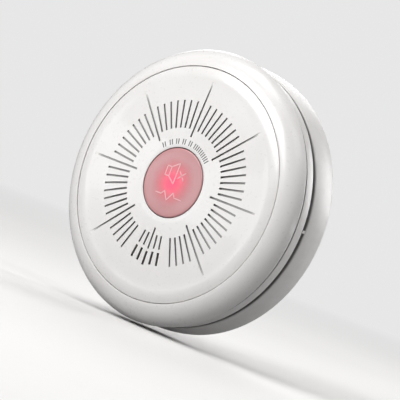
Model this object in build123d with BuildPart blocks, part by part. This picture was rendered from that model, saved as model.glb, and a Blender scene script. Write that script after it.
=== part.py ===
from build123d import *
import os
from math import cos, radians, sin, sqrt

# Round smoke alarm: a head with a lit test button that twists on to a mounting base.
#
# Frame: the wall is the plane y = 0 and the alarm faces -Y. Z is up, X is to the right seen from the
# front, and the origin is the centre of the base's back. "Depth" is the distance out from the wall.
# Angles turn from +X towards +Z, as seen from the front. All lengths are millimetres.

# ---------------------------------------------------------------- driving sizes
SEAM_RADIUS = 50.0  # fine round seam between the face and the cover
SEAM_DEPTH = 29.0
CROWN_DEPTH = 31.25  # middle of the domed face
SHOULDER_RADIUS = 44.0  # where the dome starts to roll off
SHOULDER_DEPTH = 29.8
BULGE_RADIUS = 58.6  # widest circle of the cover
BULGE_DEPTH = 22.5
JOINT_DEPTH = 19.95  # thin line between the cover and the rear housing
BAND_RADIUS = 57.1
HEAD_BACK_DEPTH = 4.6
BAND_BACK_DEPTH = 14.3
BASE_FRONT_DEPTH = 12.55  # the shadow gap lies between this and BAND_BACK_DEPTH
BASE_RADIUS = 58.0
BASE_FRONT_RADIUS = 57.45
DRUM_RADIUS = 50.5  # part of the rear housing that sits inside the base
DRUM_BORE = 48.6
SEAM_GAP = 0.15

GROOVE_WIDTH = 0.85
GROOVE_FLOOR_DEPTH = 29.7
GROOVE_STEP = 5.625  # degrees between neighbouring grooves
LONG_GROOVE = (20.0, 44.4)  # inner and outer radius
SHORT_GROOVE = (23.2, 35.1)
OUTLET_ANGLE = 270.0  # middle of the group in front of the sounder
LONG_OUTLET_GROOVE = (19.8, 28.9)
SHORT_OUTLET_GROOVE = (22.5, 28.2)
LONG_OUTLET = (30.0, 35.8)  # slots cut right through
SHORT_OUTLET = (29.5, 34.9)
OUTLET_WIDTH = 1.15

BUTTON_RADIUS = 14.6
BUTTON_HOLE_RADIUS = 14.9

BOARD_DEPTH = 17.5  # rear face of the circuit board
BOARD_THICKNESS = 1.6
BOARD_RADIUS = 44.0
BOARD_EDGE_X = -27.0  # straight edge beside the battery
BOSS_CIRCLE = 45.0
BOSS_ANGLES = (45.0, 135.0, 225.0, 315.0)
BOARD_SCREWS = ((28.0, 22.0), (25.0, -28.0), (-22.0, -32.0))

TWIST = 18.0  # degrees between locked and free
TAB_ANGLES = (30.0, 150.0, 270.0)
TAB_SPAN = 16.0
LUG_SPAN = 14.0
POST_RADIUS = 43.5  # circle on which the base's post works the power slider

SLOT_PLACES = ((30.0, 0.0, 0), (-30.0, 0.0, 0), (0.0, 42.0, 90), (0.0, -42.0, 90))  # x, z, turn
SLOT_LENGTH = 9.0
SLOT_WIDTH = 4.4

CHAMBER = (0.0, 26.0)
CHAMBER_RADIUS = 17.4
EMITTER_ANGLE = 195.0
RECEIVER_ANGLE = 312.0
SOUNDER = (0.0, -30.5)
SOUNDER_RADIUS = 13.5
BATTERY_X = -36.5
BATTERY_DEPTH = 15.0
BATTERY_RADIUS = 8.5
BATTERY_HALF_LENGTH = 16.75

BOARD_FRONT = BOARD_DEPTH + BOARD_THICKNESS
SECTION = Plane(origin=(0, 0, 0), x_dir=(1, 0, 0), z_dir=(0, 0, -1))  # x is radius, y is depth


# ---------------------------------------------------------------- helpers
def front(depth: float) -> Plane:
    """Plane at a depth, seen from the front: x to the right, y up, extruding out from the wall."""
    return Plane(origin=(0, -depth, 0), x_dir=(1, 0, 0), z_dir=(0, -1, 0))


def polar(radius: float, angle: float) -> tuple[float, float]:
    """Point on a circle round the alarm's axis."""
    return radius * cos(radians(angle)), radius * sin(radians(angle))


def sector(inner: float, outer: float, middle: float, span: float) -> Sketch:
    """Piece of a ring between two radii, centred on an angle."""
    with BuildSketch() as piece:
        with BuildLine():
            near = CenterArc((0, 0), inner, middle - span / 2, span)
            far = CenterArc((0, 0), outer, middle - span / 2, span)
            Line(near @ 0, far @ 0)
            Line(near @ 1, far @ 1)
        make_face()
    return piece.sketch


def ring(inner: float, outer: float) -> Sketch:
    """Flat ring round the origin of the sketch."""
    with BuildSketch() as piece:
        Circle(outer)
        Circle(inner, mode=Mode.SUBTRACT)
    return piece.sketch


def groove(inner: float, outer: float, width: float, angle: float) -> Sketch:
    """Radial slot with square ends."""
    with BuildSketch() as piece:
        with Locations(Location(polar((inner + outer) / 2, angle) + (0,), (0, 0, angle))):
            Rectangle(outer - inner, width)
    return piece.sketch


def save(piece: BuildPart, name: str) -> None:
    """Labels a finished piece and writes it as its own file."""
    piece.part.label = name
    export_step(piece.part, f"parts/{name}.step")


def dome_depth(radius: float) -> float:
    """Depth of the face's outer surface at a radius inside the shoulder."""
    rise = CROWN_DEPTH - SHOULDER_DEPTH
    sphere = (SHOULDER_RADIUS**2 + rise**2) / (2 * rise)
    return CROWN_DEPTH - sphere + sqrt(sphere**2 - radius**2)


os.makedirs("parts", exist_ok=True)

# ---------------------------------------------------------------- mounting base
BASE_FLOOR = 2.2
BASE_BORE = 55.0
TAB_DEPTH = 9.0
TAB_THICKNESS = 1.8
TAB_INNER = 51.3
with BuildPart() as mounting_base:
    with BuildSketch(SECTION):
        with BuildLine():
            Polyline(
                (0, 0),
                (BASE_RADIUS - 0.9, 0),
                (BASE_RADIUS, 0.9),
            )
            ThreePointArc(
                (BASE_RADIUS, 0.9),
                (BASE_RADIUS + 0.2, 6.0),
                (BASE_FRONT_RADIUS, BASE_FRONT_DEPTH - 0.6),
            )
            ThreePointArc(
                (BASE_FRONT_RADIUS, BASE_FRONT_DEPTH - 0.6),
                (BASE_FRONT_RADIUS - 0.2, BASE_FRONT_DEPTH - 0.16),
                (BASE_FRONT_RADIUS - 0.65, BASE_FRONT_DEPTH),
            )
            Polyline(
                (BASE_FRONT_RADIUS - 0.65, BASE_FRONT_DEPTH),
                (BASE_BORE, BASE_FRONT_DEPTH),
                (BASE_BORE, BASE_FLOOR),
                (0, BASE_FLOOR),
                (0, 0),
            )
        make_face()
    revolve(axis=Axis.Y)
    # Relief in the back, which leaves a rim, a hub, spokes and pads round the screw slots.
    with BuildSketch(front(0)):
        add(ring(13.0, 52.5))
        for angle in range(0, 360, 30):
            add(groove(12.0, 54.0, 1.6, angle + 15), mode=Mode.SUBTRACT)
        add(ring(37.0, 38.6), mode=Mode.SUBTRACT)
        for x, z, turn in SLOT_PLACES:
            with Locations(Location((x, z, 0), (0, 0, turn))):
                RectangleRounded(16, 11, 2.0, mode=Mode.SUBTRACT)
    extrude(amount=1.0, mode=Mode.SUBTRACT)
    # Screw slots, with a shallow seat for the screw heads.
    with BuildSketch(front(0)):
        for x, z, turn in SLOT_PLACES:
            with Locations(Location((x, z, 0), (0, 0, turn))):
                SlotOverall(SLOT_LENGTH, SLOT_WIDTH)
    extrude(amount=BASE_FLOOR, mode=Mode.SUBTRACT)
    with BuildSketch(front(BASE_FLOOR - 0.6)):
        for x, z, turn in SLOT_PLACES:
            with Locations(Location((x, z, 0), (0, 0, turn))):
                SlotOverall(SLOT_LENGTH + 4.6, SLOT_WIDTH + 4.6)
    extrude(amount=0.6, mode=Mode.SUBTRACT)
    # Bayonet tabs, each with a stop at its end.
    with BuildSketch(front(TAB_DEPTH)):
        for angle in TAB_ANGLES:
            add(sector(TAB_INNER, BASE_BORE + 0.3, angle, TAB_SPAN))
    extrude(amount=TAB_THICKNESS)
    with BuildSketch(front(BASE_FLOOR)):
        for angle in TAB_ANGLES:
            add(sector(TAB_INNER, BASE_BORE + 0.3, angle - TAB_SPAN / 2 - 0.8, 1.6))
    extrude(amount=TAB_DEPTH + TAB_THICKNESS - BASE_FLOOR)
    # Post that holds the power slider still, and three low ribs under the head.
    with BuildSketch(front(BASE_FLOOR)):
        with Locations((POST_RADIUS, 0)):
            Circle(1.6)
    extrude(amount=5.4)
    with BuildSketch(front(BASE_FLOOR)):
        add(ring(26.0, 27.2))
        for angle in (90, 210, 330):
            add(groove(27.0, 36.0, 1.2, angle))
    extrude(amount=0.9)
    # Locating rib that bridges the shadow gap.
    with BuildSketch(front(BASE_FRONT_DEPTH - 0.3)):
        add(sector(BASE_BORE + 0.1, BASE_FRONT_RADIUS - 0.35, 0.5, 1.3))
    extrude(amount=1.9)
save(mounting_base, "mounting_base")

# ---------------------------------------------------------------- rear housing
HOUSING_FLOOR = 6.2
SCREW_SEAT = 8.0
TONGUE_DEPTH = 21.5
LUG_DEPTH = 6.4
LUG_THICKNESS = 2.3
LUG_OUTER = 54.2
SADDLE_DEPTH = 12.2
RAIL = (39.6, 40.5)
with BuildPart() as rear_housing:
    with BuildSketch(SECTION):
        with BuildLine():
            Polyline(
                (0, HEAD_BACK_DEPTH),
                (DRUM_RADIUS - 0.8, HEAD_BACK_DEPTH),
                (DRUM_RADIUS, HEAD_BACK_DEPTH + 0.8),
                (DRUM_RADIUS, BAND_BACK_DEPTH),
                (BAND_RADIUS - 0.5, BAND_BACK_DEPTH),
            )
            ThreePointArc(
                (BAND_RADIUS - 0.5, BAND_BACK_DEPTH),
                (BAND_RADIUS - 0.1, BAND_BACK_DEPTH + 0.18),
                (BAND_RADIUS + 0.05, BAND_BACK_DEPTH + 0.6),
            )
            Polyline(
                (BAND_RADIUS + 0.05, BAND_BACK_DEPTH + 0.6),
                (BAND_RADIUS - 0.1, JOINT_DEPTH - 0.3),
                (BAND_RADIUS - 0.45, JOINT_DEPTH - 0.05),
                (54.85, JOINT_DEPTH - 0.05),
                (54.85, TONGUE_DEPTH),
                (53.0, TONGUE_DEPTH),
                (53.0, 16.2),
                (DRUM_BORE, 16.2),
                (DRUM_BORE, HOUSING_FLOOR),
                (0, HOUSING_FLOOR),
                (0, HEAD_BACK_DEPTH),
            )
        make_face()
    revolve(axis=Axis.Y)
    # Bayonet lugs.
    with BuildSketch(front(LUG_DEPTH)):
        for angle in TAB_ANGLES:
            add(sector(DRUM_RADIUS - 0.3, LUG_OUTER, angle, LUG_SPAN))
    extrude(amount=LUG_THICKNESS)
    # Bosses for the cover screws, board posts, slider rail and battery saddles.
    with BuildSketch(front(HOUSING_FLOOR - 0.2)):
        with PolarLocations(BOSS_CIRCLE, 4, BOSS_ANGLES[0]):
            Circle(3.1)
    extrude(amount=16.1 - HOUSING_FLOOR + 0.2)
    with BuildSketch(front(HOUSING_FLOOR - 0.2)):
        with Locations(*BOARD_SCREWS):
            Circle(2.6)
    extrude(amount=BOARD_DEPTH - HOUSING_FLOOR + 0.2)
    with BuildSketch(front(HOUSING_FLOOR - 0.2)):
        add(sector(RAIL[0], RAIL[1], -9.0, 40.0))
    extrude(amount=3.5)
    with BuildSketch(front(HOUSING_FLOOR + 2.9)):
        add(sector(RAIL[0], RAIL[1] + 1.1, -9.0, 40.0))
    extrude(amount=0.8)
    with BuildSketch(front(HOUSING_FLOOR - 0.2)):
        with Locations((BATTERY_X, 10.0), (BATTERY_X, -10.0)):
            Rectangle(19.4, 2.0)
    extrude(amount=SADDLE_DEPTH - HOUSING_FLOOR + 0.2)
    with BuildSketch(Plane(origin=(BATTERY_X, -BATTERY_DEPTH, 0))):
        Circle(BATTERY_RADIUS + 0.1)
    extrude(amount=BATTERY_HALF_LENGTH + 0.5, both=True, mode=Mode.SUBTRACT)
    # Screw holes, counterbored from the back.
    with BuildSketch(front(HEAD_BACK_DEPTH)):
        with PolarLocations(BOSS_CIRCLE, 4, BOSS_ANGLES[0]):
            Circle(1.6)
    extrude(amount=16.1 - HEAD_BACK_DEPTH, mode=Mode.SUBTRACT)
    with BuildSketch(front(HEAD_BACK_DEPTH)):
        with PolarLocations(BOSS_CIRCLE, 4, BOSS_ANGLES[0]):
            Circle(2.35)
    extrude(amount=SCREW_SEAT - HEAD_BACK_DEPTH, mode=Mode.SUBTRACT)
    with BuildSketch(front(9.5)):
        with Locations(*BOARD_SCREWS):
            Circle(1.0)
    extrude(amount=BOARD_DEPTH - 9.5, mode=Mode.SUBTRACT)
    # Curved slot for the base's post.
    with BuildSketch(front(HEAD_BACK_DEPTH)):
        add(sector(POST_RADIUS - 2.1, POST_RADIUS + 2.1, -TWIST / 2, TWIST + 5.6))
    extrude(amount=HOUSING_FLOOR - HEAD_BACK_DEPTH, mode=Mode.SUBTRACT)
    # Smoke vents in the drum beside the chamber.
    with BuildSketch(front(9.6)):
        for angle in range(54, 127, 9):
            add(sector(DRUM_BORE - 0.8, DRUM_RADIUS + 0.8, angle, 5.5))
    extrude(amount=3.8, mode=Mode.SUBTRACT)
save(rear_housing, "rear_housing")

# ---------------------------------------------------------------- front cover
LEDGE_INNER = 45.2
LEDGE_DEPTH = 27.0
with BuildPart() as front_cover:
    with BuildSketch(SECTION):
        with BuildLine():
            ThreePointArc(
                (BAND_RADIUS - 0.25, JOINT_DEPTH),
                (BULGE_RADIUS - 0.35, BULGE_DEPTH - 1.3),
                (BULGE_RADIUS, BULGE_DEPTH),
            )
            ThreePointArc(
                (BULGE_RADIUS, BULGE_DEPTH),
                (55.75, 26.55),
                (SEAM_RADIUS + SEAM_GAP, SEAM_DEPTH),
            )
            Polyline(
                (SEAM_RADIUS + SEAM_GAP, SEAM_DEPTH),
                (SEAM_RADIUS + SEAM_GAP - 0.05, LEDGE_DEPTH),
                (LEDGE_INNER, LEDGE_DEPTH),
                (LEDGE_INNER, LEDGE_DEPTH - 1.6),
                (51.6, LEDGE_DEPTH - 1.6),
            )
            ThreePointArc((51.6, LEDGE_DEPTH - 1.6), (54.1, 24.0), (55.0, 22.2))
            Polyline(
                (55.0, 22.2),
                (55.0, JOINT_DEPTH),
                (BAND_RADIUS - 0.25, JOINT_DEPTH),
            )
        make_face()
    revolve(axis=Axis.Y)
    with BuildSketch(front(16.2)):
        with PolarLocations(BOSS_CIRCLE, 4, BOSS_ANGLES[0]):
            Circle(2.8)
    extrude(amount=LEDGE_DEPTH - 1.0 - 16.2)
    with BuildSketch(front(16.2)):
        with PolarLocations(BOSS_CIRCLE, 4, BOSS_ANGLES[0]):
            Circle(1.25)
    extrude(amount=8.0, mode=Mode.SUBTRACT)
save(front_cover, "front_cover")

# ---------------------------------------------------------------- face disc
FACE_EDGE = SEAM_RADIUS - SEAM_GAP
FACE_BACK = 28.2
COLLAR_OUTER = 16.4
with BuildPart() as face_disc:
    with BuildSketch(SECTION):
        with BuildLine():
            ThreePointArc(
                (BUTTON_HOLE_RADIUS + 0.35, dome_depth(BUTTON_HOLE_RADIUS)),
                (32.0, dome_depth(32.0)),
                (SHOULDER_RADIUS, SHOULDER_DEPTH),
            )
            ThreePointArc(
                (SHOULDER_RADIUS, SHOULDER_DEPTH),
                (47.6, SHOULDER_DEPTH - 0.32),
                (FACE_EDGE - 0.05, SEAM_DEPTH - 0.15),
            )
            Polyline(
                (FACE_EDGE - 0.05, SEAM_DEPTH - 0.15),
                (FACE_EDGE, SEAM_DEPTH - 0.5),
                (FACE_EDGE, LEDGE_DEPTH),
                (46.0, LEDGE_DEPTH),
                (46.0, FACE_BACK),
                (COLLAR_OUTER, FACE_BACK),
                (COLLAR_OUTER, 25.0),
                (BUTTON_HOLE_RADIUS, 25.0),
                (BUTTON_HOLE_RADIUS, dome_depth(BUTTON_HOLE_RADIUS) - 0.35),
                (BUTTON_HOLE_RADIUS + 0.35, dome_depth(BUTTON_HOLE_RADIUS)),
            )
        make_face()
    revolve(axis=Axis.Y)
    # Grooves: flat floors, so the long ones run out where the dome falls away.
    with BuildSketch(front(GROOVE_FLOOR_DEPTH)):
        for place in range(64):
            turn = place * GROOVE_STEP
            steps = round(abs((turn - OUTLET_ANGLE + 180) % 360 - 180) / GROOVE_STEP)
            if steps > 3:
                ends = LONG_GROOVE if place % 8 == 0 else SHORT_GROOVE
                add(groove(*ends, GROOVE_WIDTH, turn))
            elif steps < 3:
                ends = LONG_OUTLET_GROOVE if steps == 0 else SHORT_OUTLET_GROOVE
                add(groove(*ends, GROOVE_WIDTH, turn))
    extrude(amount=3.0, mode=Mode.SUBTRACT)
    with BuildSketch(front(FACE_BACK)):
        for steps in (-2, -1, 0, 1, 2):
            angle = OUTLET_ANGLE + steps * GROOVE_STEP
            ends = LONG_OUTLET if steps == 0 else SHORT_OUTLET
            add(groove(*ends, OUTLET_WIDTH, angle))
    extrude(amount=5.0, mode=Mode.SUBTRACT)
    # Snap hooks that hold the disc on the cover's ledge.
    with BuildSketch(front(24.2)):
        for angle in (22.5, 112.5, 157.5, 202.5, 247.5, 337.5):
            add(sector(43.6, 44.9, angle, 6.0))
    extrude(amount=FACE_BACK + 0.2 - 24.2)
    with BuildSketch(front(24.2)):
        for angle in (22.5, 112.5, 157.5, 202.5, 247.5, 337.5):
            add(sector(43.6, 46.2, angle, 6.0))
    extrude(amount=1.0)
save(face_disc, "face_disc")

# ---------------------------------------------------------------- test button
LENS_EDGE_DEPTH = dome_depth(BUTTON_RADIUS)
with BuildPart() as test_button:
    with BuildSketch(SECTION):
        with BuildLine():
            ThreePointArc(
                (0, CROWN_DEPTH + 0.1),
                (8.0, dome_depth(8.0) + 0.1),
                (BUTTON_RADIUS - 0.5, dome_depth(BUTTON_RADIUS) + 0.05),
            )
            ThreePointArc(
                (BUTTON_RADIUS - 0.5, LENS_EDGE_DEPTH + 0.05),
                (BUTTON_RADIUS - 0.14, LENS_EDGE_DEPTH - 0.1),
                (BUTTON_RADIUS, LENS_EDGE_DEPTH - 0.45),
            )
            Polyline(
                (BUTTON_RADIUS, LENS_EDGE_DEPTH - 0.45),
                (BUTTON_RADIUS, 26.0),
                (13.3, 26.0),
                (13.3, 29.4),
                (0, 29.4),
                (0, CROWN_DEPTH + 0.1),
            )
        make_face()
    revolve(axis=Axis.Y)
save(test_button, "test_button")

with BuildPart() as button_carrier:
    with BuildSketch(SECTION):
        with BuildLine():
            Polyline(
                (12.1, 23.75),
                (16.1, 23.75),
                (16.1, 24.85),
                (BUTTON_RADIUS, 24.85),
                (BUTTON_RADIUS, 26.0),
                (13.2, 26.0),
                (13.2, 28.6),
                (12.1, 28.6),
                close=True,
            )
        make_face()
    revolve(axis=Axis.Y)
    with BuildSketch(front(24.35)):
        for angle in (30, 150, 270):
            add(groove(0.0, 12.4, 1.8, angle))
        Circle(2.2)
    extrude(amount=1.3)
save(button_carrier, "button_carrier")

with BuildPart() as light_cup:
    with BuildSketch(SECTION):
        with BuildLine():
            Polyline(
                (9.2, BOARD_FRONT),
                (10.4, BOARD_FRONT),
                (13.9, 22.3),
                (12.8, 22.3),
                close=True,
            )
        make_face()
    revolve(axis=Axis.Y)
save(light_cup, "light_cup")

with BuildPart() as button_lamps:
    with BuildSketch(front(BOARD_FRONT)):
        with PolarLocations(6.6, 3, 90):
            Rectangle(2.8, 3.5)
    extrude(amount=1.5)
    with BuildSketch(front(BOARD_FRONT + 1.5)):
        with PolarLocations(6.6, 3, 90):
            Circle(1.15)
    extrude(amount=0.4)
save(button_lamps, "button_lamps")

with BuildPart() as tact_switch:
    with BuildSketch(front(BOARD_FRONT)):
        RectangleRounded(6.0, 6.0, 0.5)
    extrude(amount=3.2)
    with BuildSketch(front(BOARD_FRONT + 3.2)):
        RectangleRounded(5.6, 5.6, 0.5)
    extrude(amount=0.3)
    with BuildSketch(front(21.6)):
        Circle(1.78)
    extrude(amount=1.0, mode=Mode.SUBTRACT)
save(tact_switch, "tact_switch")

with BuildPart() as tact_plunger:
    with BuildSketch(front(22.0)):
        Circle(1.7)
    extrude(amount=1.4)
save(tact_plunger, "tact_plunger")

# ---------------------------------------------------------------- circuit board
with BuildPart() as circuit_board:
    with BuildSketch(front(BOARD_DEPTH)):
        Circle(BOARD_RADIUS)
        with Locations((BOARD_EDGE_X - 20, 0)):
            Rectangle(40, 100, mode=Mode.SUBTRACT)
        with PolarLocations(BOSS_CIRCLE, 4, BOSS_ANGLES[0]):
            Circle(3.7, mode=Mode.SUBTRACT)
        with Locations(*BOARD_SCREWS):
            Circle(1.2, mode=Mode.SUBTRACT)
    extrude(amount=BOARD_THICKNESS)
save(circuit_board, "circuit_board")

with BuildPart() as board_screws:
    with BuildSketch(front(10.5)):
        with Locations(*BOARD_SCREWS):
            Circle(0.95)
    extrude(amount=BOARD_FRONT - 10.5)
    with BuildSketch(front(BOARD_FRONT)):
        with Locations(*BOARD_SCREWS):
            Circle(2.2)
    extrude(amount=1.3)
    with BuildSketch(front(BOARD_FRONT + 0.6)):
        with Locations(*BOARD_SCREWS):
            Rectangle(2.4, 0.5)
            Rectangle(0.5, 2.4)
    extrude(amount=1.0, mode=Mode.SUBTRACT)
save(board_screws, "board_screws")

with BuildPart() as housing_screws:
    with BuildSketch(front(7.0)):
        with PolarLocations(BOSS_CIRCLE, 4, BOSS_ANGLES[0]):
            Circle(1.2)
    extrude(amount=15.5)
    with BuildSketch(front(5.8)):
        with PolarLocations(BOSS_CIRCLE, 4, BOSS_ANGLES[0]):
            Circle(2.2)
    extrude(amount=SCREW_SEAT - 5.8)
    with BuildSketch(front(5.8)):
        with PolarLocations(BOSS_CIRCLE, 4, BOSS_ANGLES[0]):
            Rectangle(2.4, 0.5)
            Rectangle(0.5, 2.4)
    extrude(amount=0.9, mode=Mode.SUBTRACT)
save(housing_screws, "housing_screws")

# ---------------------------------------------------------------- optical chamber
OPTIC_DEPTH = 12.3


def optic_plane(angle: float, distance: float) -> Plane:
    """Plane across a lamp's axis, with its normal pointing at the chamber's middle."""
    away = polar(distance, angle)
    inward = polar(-1.0, angle)
    origin = (CHAMBER[0] + away[0], -OPTIC_DEPTH, CHAMBER[1] + away[1])
    return Plane(origin=origin, x_dir=(0, -1, 0), z_dir=(inward[0], 0, inward[1]))


CHAMBER_REAR = front(15.7) * Location((CHAMBER[0], CHAMBER[1], 0))
CHAMBER_FLOOR = front(9.0) * Location((CHAMBER[0], CHAMBER[1], 0))
CHAMBER_CAP = front(7.3) * Location((CHAMBER[0], CHAMBER[1], 0))
with BuildPart() as chamber_base:
    with BuildSketch(CHAMBER_REAR):
        Circle(CHAMBER_RADIUS)
    extrude(amount=BOARD_DEPTH - 15.7)
    with BuildSketch(CHAMBER_FLOOR):
        for angle in (EMITTER_ANGLE, RECEIVER_ANGLE):
            add(groove(5.2, 12.6, 7.6, angle))
    extrude(amount=6.8)
    for angle in (EMITTER_ANGLE, RECEIVER_ANGLE):
        with BuildSketch(optic_plane(angle, 13.0)):
            Circle(2.6)
        extrude(amount=8.2, mode=Mode.SUBTRACT)
    with BuildSketch(CHAMBER_FLOOR):
        for angle in (EMITTER_ANGLE, RECEIVER_ANGLE):
            add(groove(10.7, 12.0, 3.6, angle))
    extrude(amount=12.0, mode=Mode.SUBTRACT)
save(chamber_base, "chamber_base")

with BuildPart() as chamber_cover:
    with BuildSketch(CHAMBER_CAP):
        Circle(CHAMBER_RADIUS)
    extrude(amount=1.2)
    with BuildSketch(front(8.4) * Location((CHAMBER[0], CHAMBER[1], 0))):
        for angle in range(0, 360, 15):
            crowd = min(
                abs((angle - optic + 180) % 360 - 180)
                for optic in (EMITTER_ANGLE, RECEIVER_ANGLE)
            )
            if crowd > 24:
                with Locations(Location(polar(14.9, angle) + (0,), (0, 0, angle + 40))):
                    Rectangle(4.6, 0.8)
    extrude(amount=7.2)
save(chamber_cover, "chamber_cover")

with BuildPart() as insect_screen:
    with BuildSketch(front(8.0) * Location((CHAMBER[0], CHAMBER[1], 0))):
        add(ring(17.55, 17.95))
    extrude(amount=8.4)
    with BuildSketch(front(8.8) * Location((CHAMBER[0], CHAMBER[1], 0))):
        for angle in range(0, 360, 10):
            add(sector(17.0, 18.5, angle, 7.0))
    extrude(amount=6.6, mode=Mode.SUBTRACT)
save(insect_screen, "insect_screen")


def build_lamp(angle: float) -> Part:
    """Five-millimetre optical component: flanged body, round nose and two legs to the board."""
    with BuildPart() as lamp:
        with BuildSketch(optic_plane(angle, 10.6)):
            Circle(2.45)
        extrude(amount=3.4)
        with BuildSketch(optic_plane(angle, 7.2)):
            Circle(2.45)
        extrude(amount=2.2, taper=22)
        with BuildSketch(CHAMBER_FLOOR):
            with Locations(Location(polar(11.0, angle) + (0,), (0, 0, angle))):
                with Locations((0, 1.27), (0, -1.27)):
                    Rectangle(0.5, 0.5)
        extrude(amount=8.5)
        with BuildSketch(optic_plane(angle, 11.25)):
            with Locations((0, 1.27), (0, -1.27)):
                Rectangle(0.5, 0.5)
        extrude(amount=0.8)
    return lamp.part


for label, angle in (("infrared_emitter", EMITTER_ANGLE), ("photodiode", RECEIVER_ANGLE)):
    with BuildPart() as lamp_piece:
        add(build_lamp(angle))
    save(lamp_piece, label)

with BuildPart() as diode_shield:
    with BuildSketch(CHAMBER_FLOOR):
        add(groove(5.2, 13.3, 8.4, RECEIVER_ANGLE))
        add(groove(5.0, 12.8, 7.7, RECEIVER_ANGLE), mode=Mode.SUBTRACT)
    extrude(amount=6.6)
save(diode_shield, "diode_shield")

# ---------------------------------------------------------------- sounder
SOUNDER_SECTION = Plane(origin=(0, 0, SOUNDER[1]), x_dir=(1, 0, 0), z_dir=(0, 0, -1))
SOUNDER_AXIS = Axis((0, 0, SOUNDER[1]), (0, 1, 0))
PLATE_DEPTH = 22.3
PINS = ((9.9, 0.0, PLATE_DEPTH), (0.0, 4.0, PLATE_DEPTH - 0.25), (5.0, -3.0, PLATE_DEPTH - 0.25))
with BuildPart() as sounder_body:
    with BuildSketch(SOUNDER_SECTION):
        with BuildLine():
            Polyline(
                (0, BOARD_FRONT),
                (SOUNDER_RADIUS, BOARD_FRONT),
                (SOUNDER_RADIUS, 26.6),
                (12.35, 26.6),
                (12.35, PLATE_DEPTH),
                (11.3, PLATE_DEPTH),
                (11.3, 20.3),
                (0, 20.3),
                close=True,
            )
        make_face()
    revolve(axis=SOUNDER_AXIS)
    with BuildSketch(front(BOARD_FRONT)):
        for x, z, top in PINS:
            with Locations((SOUNDER[0] + x, SOUNDER[1] + z)):
                Circle(0.7)
    extrude(amount=1.2, mode=Mode.SUBTRACT)
save(sounder_body, "sounder_body")

with BuildPart() as sounder_cap:
    with BuildSketch(SOUNDER_SECTION):
        with BuildLine():
            Polyline(
                (0, 26.6),
                (11.6, 26.6),
                (11.6, PLATE_DEPTH + 0.3),
                (12.2, PLATE_DEPTH + 0.3),
                (12.2, 26.6),
                (SOUNDER_RADIUS, 26.6),
                (SOUNDER_RADIUS, 27.8),
                (0, 27.8),
                close=True,
            )
        make_face()
    revolve(axis=SOUNDER_AXIS)
    with BuildSketch(front(26.6)):
        with Locations((0, -32.4)):
            SlotOverall(12.0, 6.0)
    extrude(amount=1.2, mode=Mode.SUBTRACT)
save(sounder_cap, "sounder_cap")

with BuildPart() as piezo_plate:
    with BuildSketch(front(PLATE_DEPTH)):
        with Locations(SOUNDER):
            Circle(12.2)
    extrude(amount=0.25)
save(piezo_plate, "piezo_plate")

with BuildPart() as piezo_ceramic:
    with BuildSketch(front(PLATE_DEPTH - 0.25)):
        with Locations(SOUNDER):
            Circle(8.5)
    extrude(amount=0.25)
save(piezo_ceramic, "piezo_ceramic")

with BuildPart() as sounder_contacts:
    for x, z, top in PINS:
        with BuildSketch(front(BOARD_FRONT)):
            with Locations((SOUNDER[0] + x, SOUNDER[1] + z)):
                Circle(0.4)
        extrude(amount=top - BOARD_FRONT)
save(sounder_contacts, "sounder_contacts")

# ---------------------------------------------------------------- battery
CELL = Plane(origin=(BATTERY_X, -BATTERY_DEPTH, 0))
with BuildPart() as battery_cell:
    with BuildSketch(CELL):
        Circle(BATTERY_RADIUS)
    extrude(amount=BATTERY_HALF_LENGTH, both=True)
    fillet(battery_cell.edges().filter_by(GeomType.CIRCLE), 0.8)
    with BuildSketch(CELL.offset(BATTERY_HALF_LENGTH)):
        Circle(3.0)
    extrude(amount=0.75)
save(battery_cell, "battery_cell")

with BuildPart() as battery_tabs:
    with BuildSketch(CELL.offset(BATTERY_HALF_LENGTH + 0.75)):
        with Locations((0, -2.0)):
            Rectangle(4.0, 10.0)
    extrude(amount=0.3)
    with BuildSketch(CELL.offset(-BATTERY_HALF_LENGTH - 0.3)):
        with Locations((0, -2.0)):
            Rectangle(4.0, 10.0)
    extrude(amount=0.3)
save(battery_tabs, "battery_tabs")

RETAINER = (BATTERY_RADIUS + 0.15, BATTERY_RADIUS + 1.1)  # inner and outer radius of the arch
with BuildPart() as battery_retainer:
    with BuildSketch(CELL):
        Circle(RETAINER[1])
        with Locations((0, BATTERY_DEPTH - SADDLE_DEPTH)):
            Rectangle(2 * RETAINER[1], 20.0, align=(Align.CENTER, Align.MIN), mode=Mode.SUBTRACT)
        Circle(RETAINER[0], mode=Mode.SUBTRACT)
    extrude(amount=11.0, both=True)
save(battery_retainer, "battery_retainer")

LEAD_RADIUS = 0.55
LEAD_DEPTH = 21.2
LEAD_X = -28.4
PLUG_X = -26.5


def lead(end_z: float, entry_z: float) -> Part:
    """Insulated wire from a battery tab to the plug, in one plane, with a bend at each corner."""
    with BuildPart() as wire:
        with BuildLine(front(LEAD_DEPTH)):
            FilletPolyline(
                (BATTERY_X, end_z),
                (LEAD_X, end_z),
                (LEAD_X, entry_z),
                (PLUG_X, entry_z),
                radius=1.8,
            )
        with BuildSketch(Plane(origin=(BATTERY_X, -LEAD_DEPTH, end_z), z_dir=(1, 0, 0))):
            Circle(LEAD_RADIUS)
        sweep()
    return wire.part


UPPER_LEAD_Z = BATTERY_HALF_LENGTH + 0.75 + 0.3 + LEAD_RADIUS
LOWER_LEAD_Z = -BATTERY_HALF_LENGTH - 0.3 - LEAD_RADIUS
with BuildPart() as battery_lead_positive:
    add(lead(UPPER_LEAD_Z, 1.25))
save(battery_lead_positive, "battery_lead_positive")

with BuildPart() as battery_lead_negative:
    add(lead(LOWER_LEAD_Z, -1.25))
save(battery_lead_negative, "battery_lead_negative")

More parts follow.
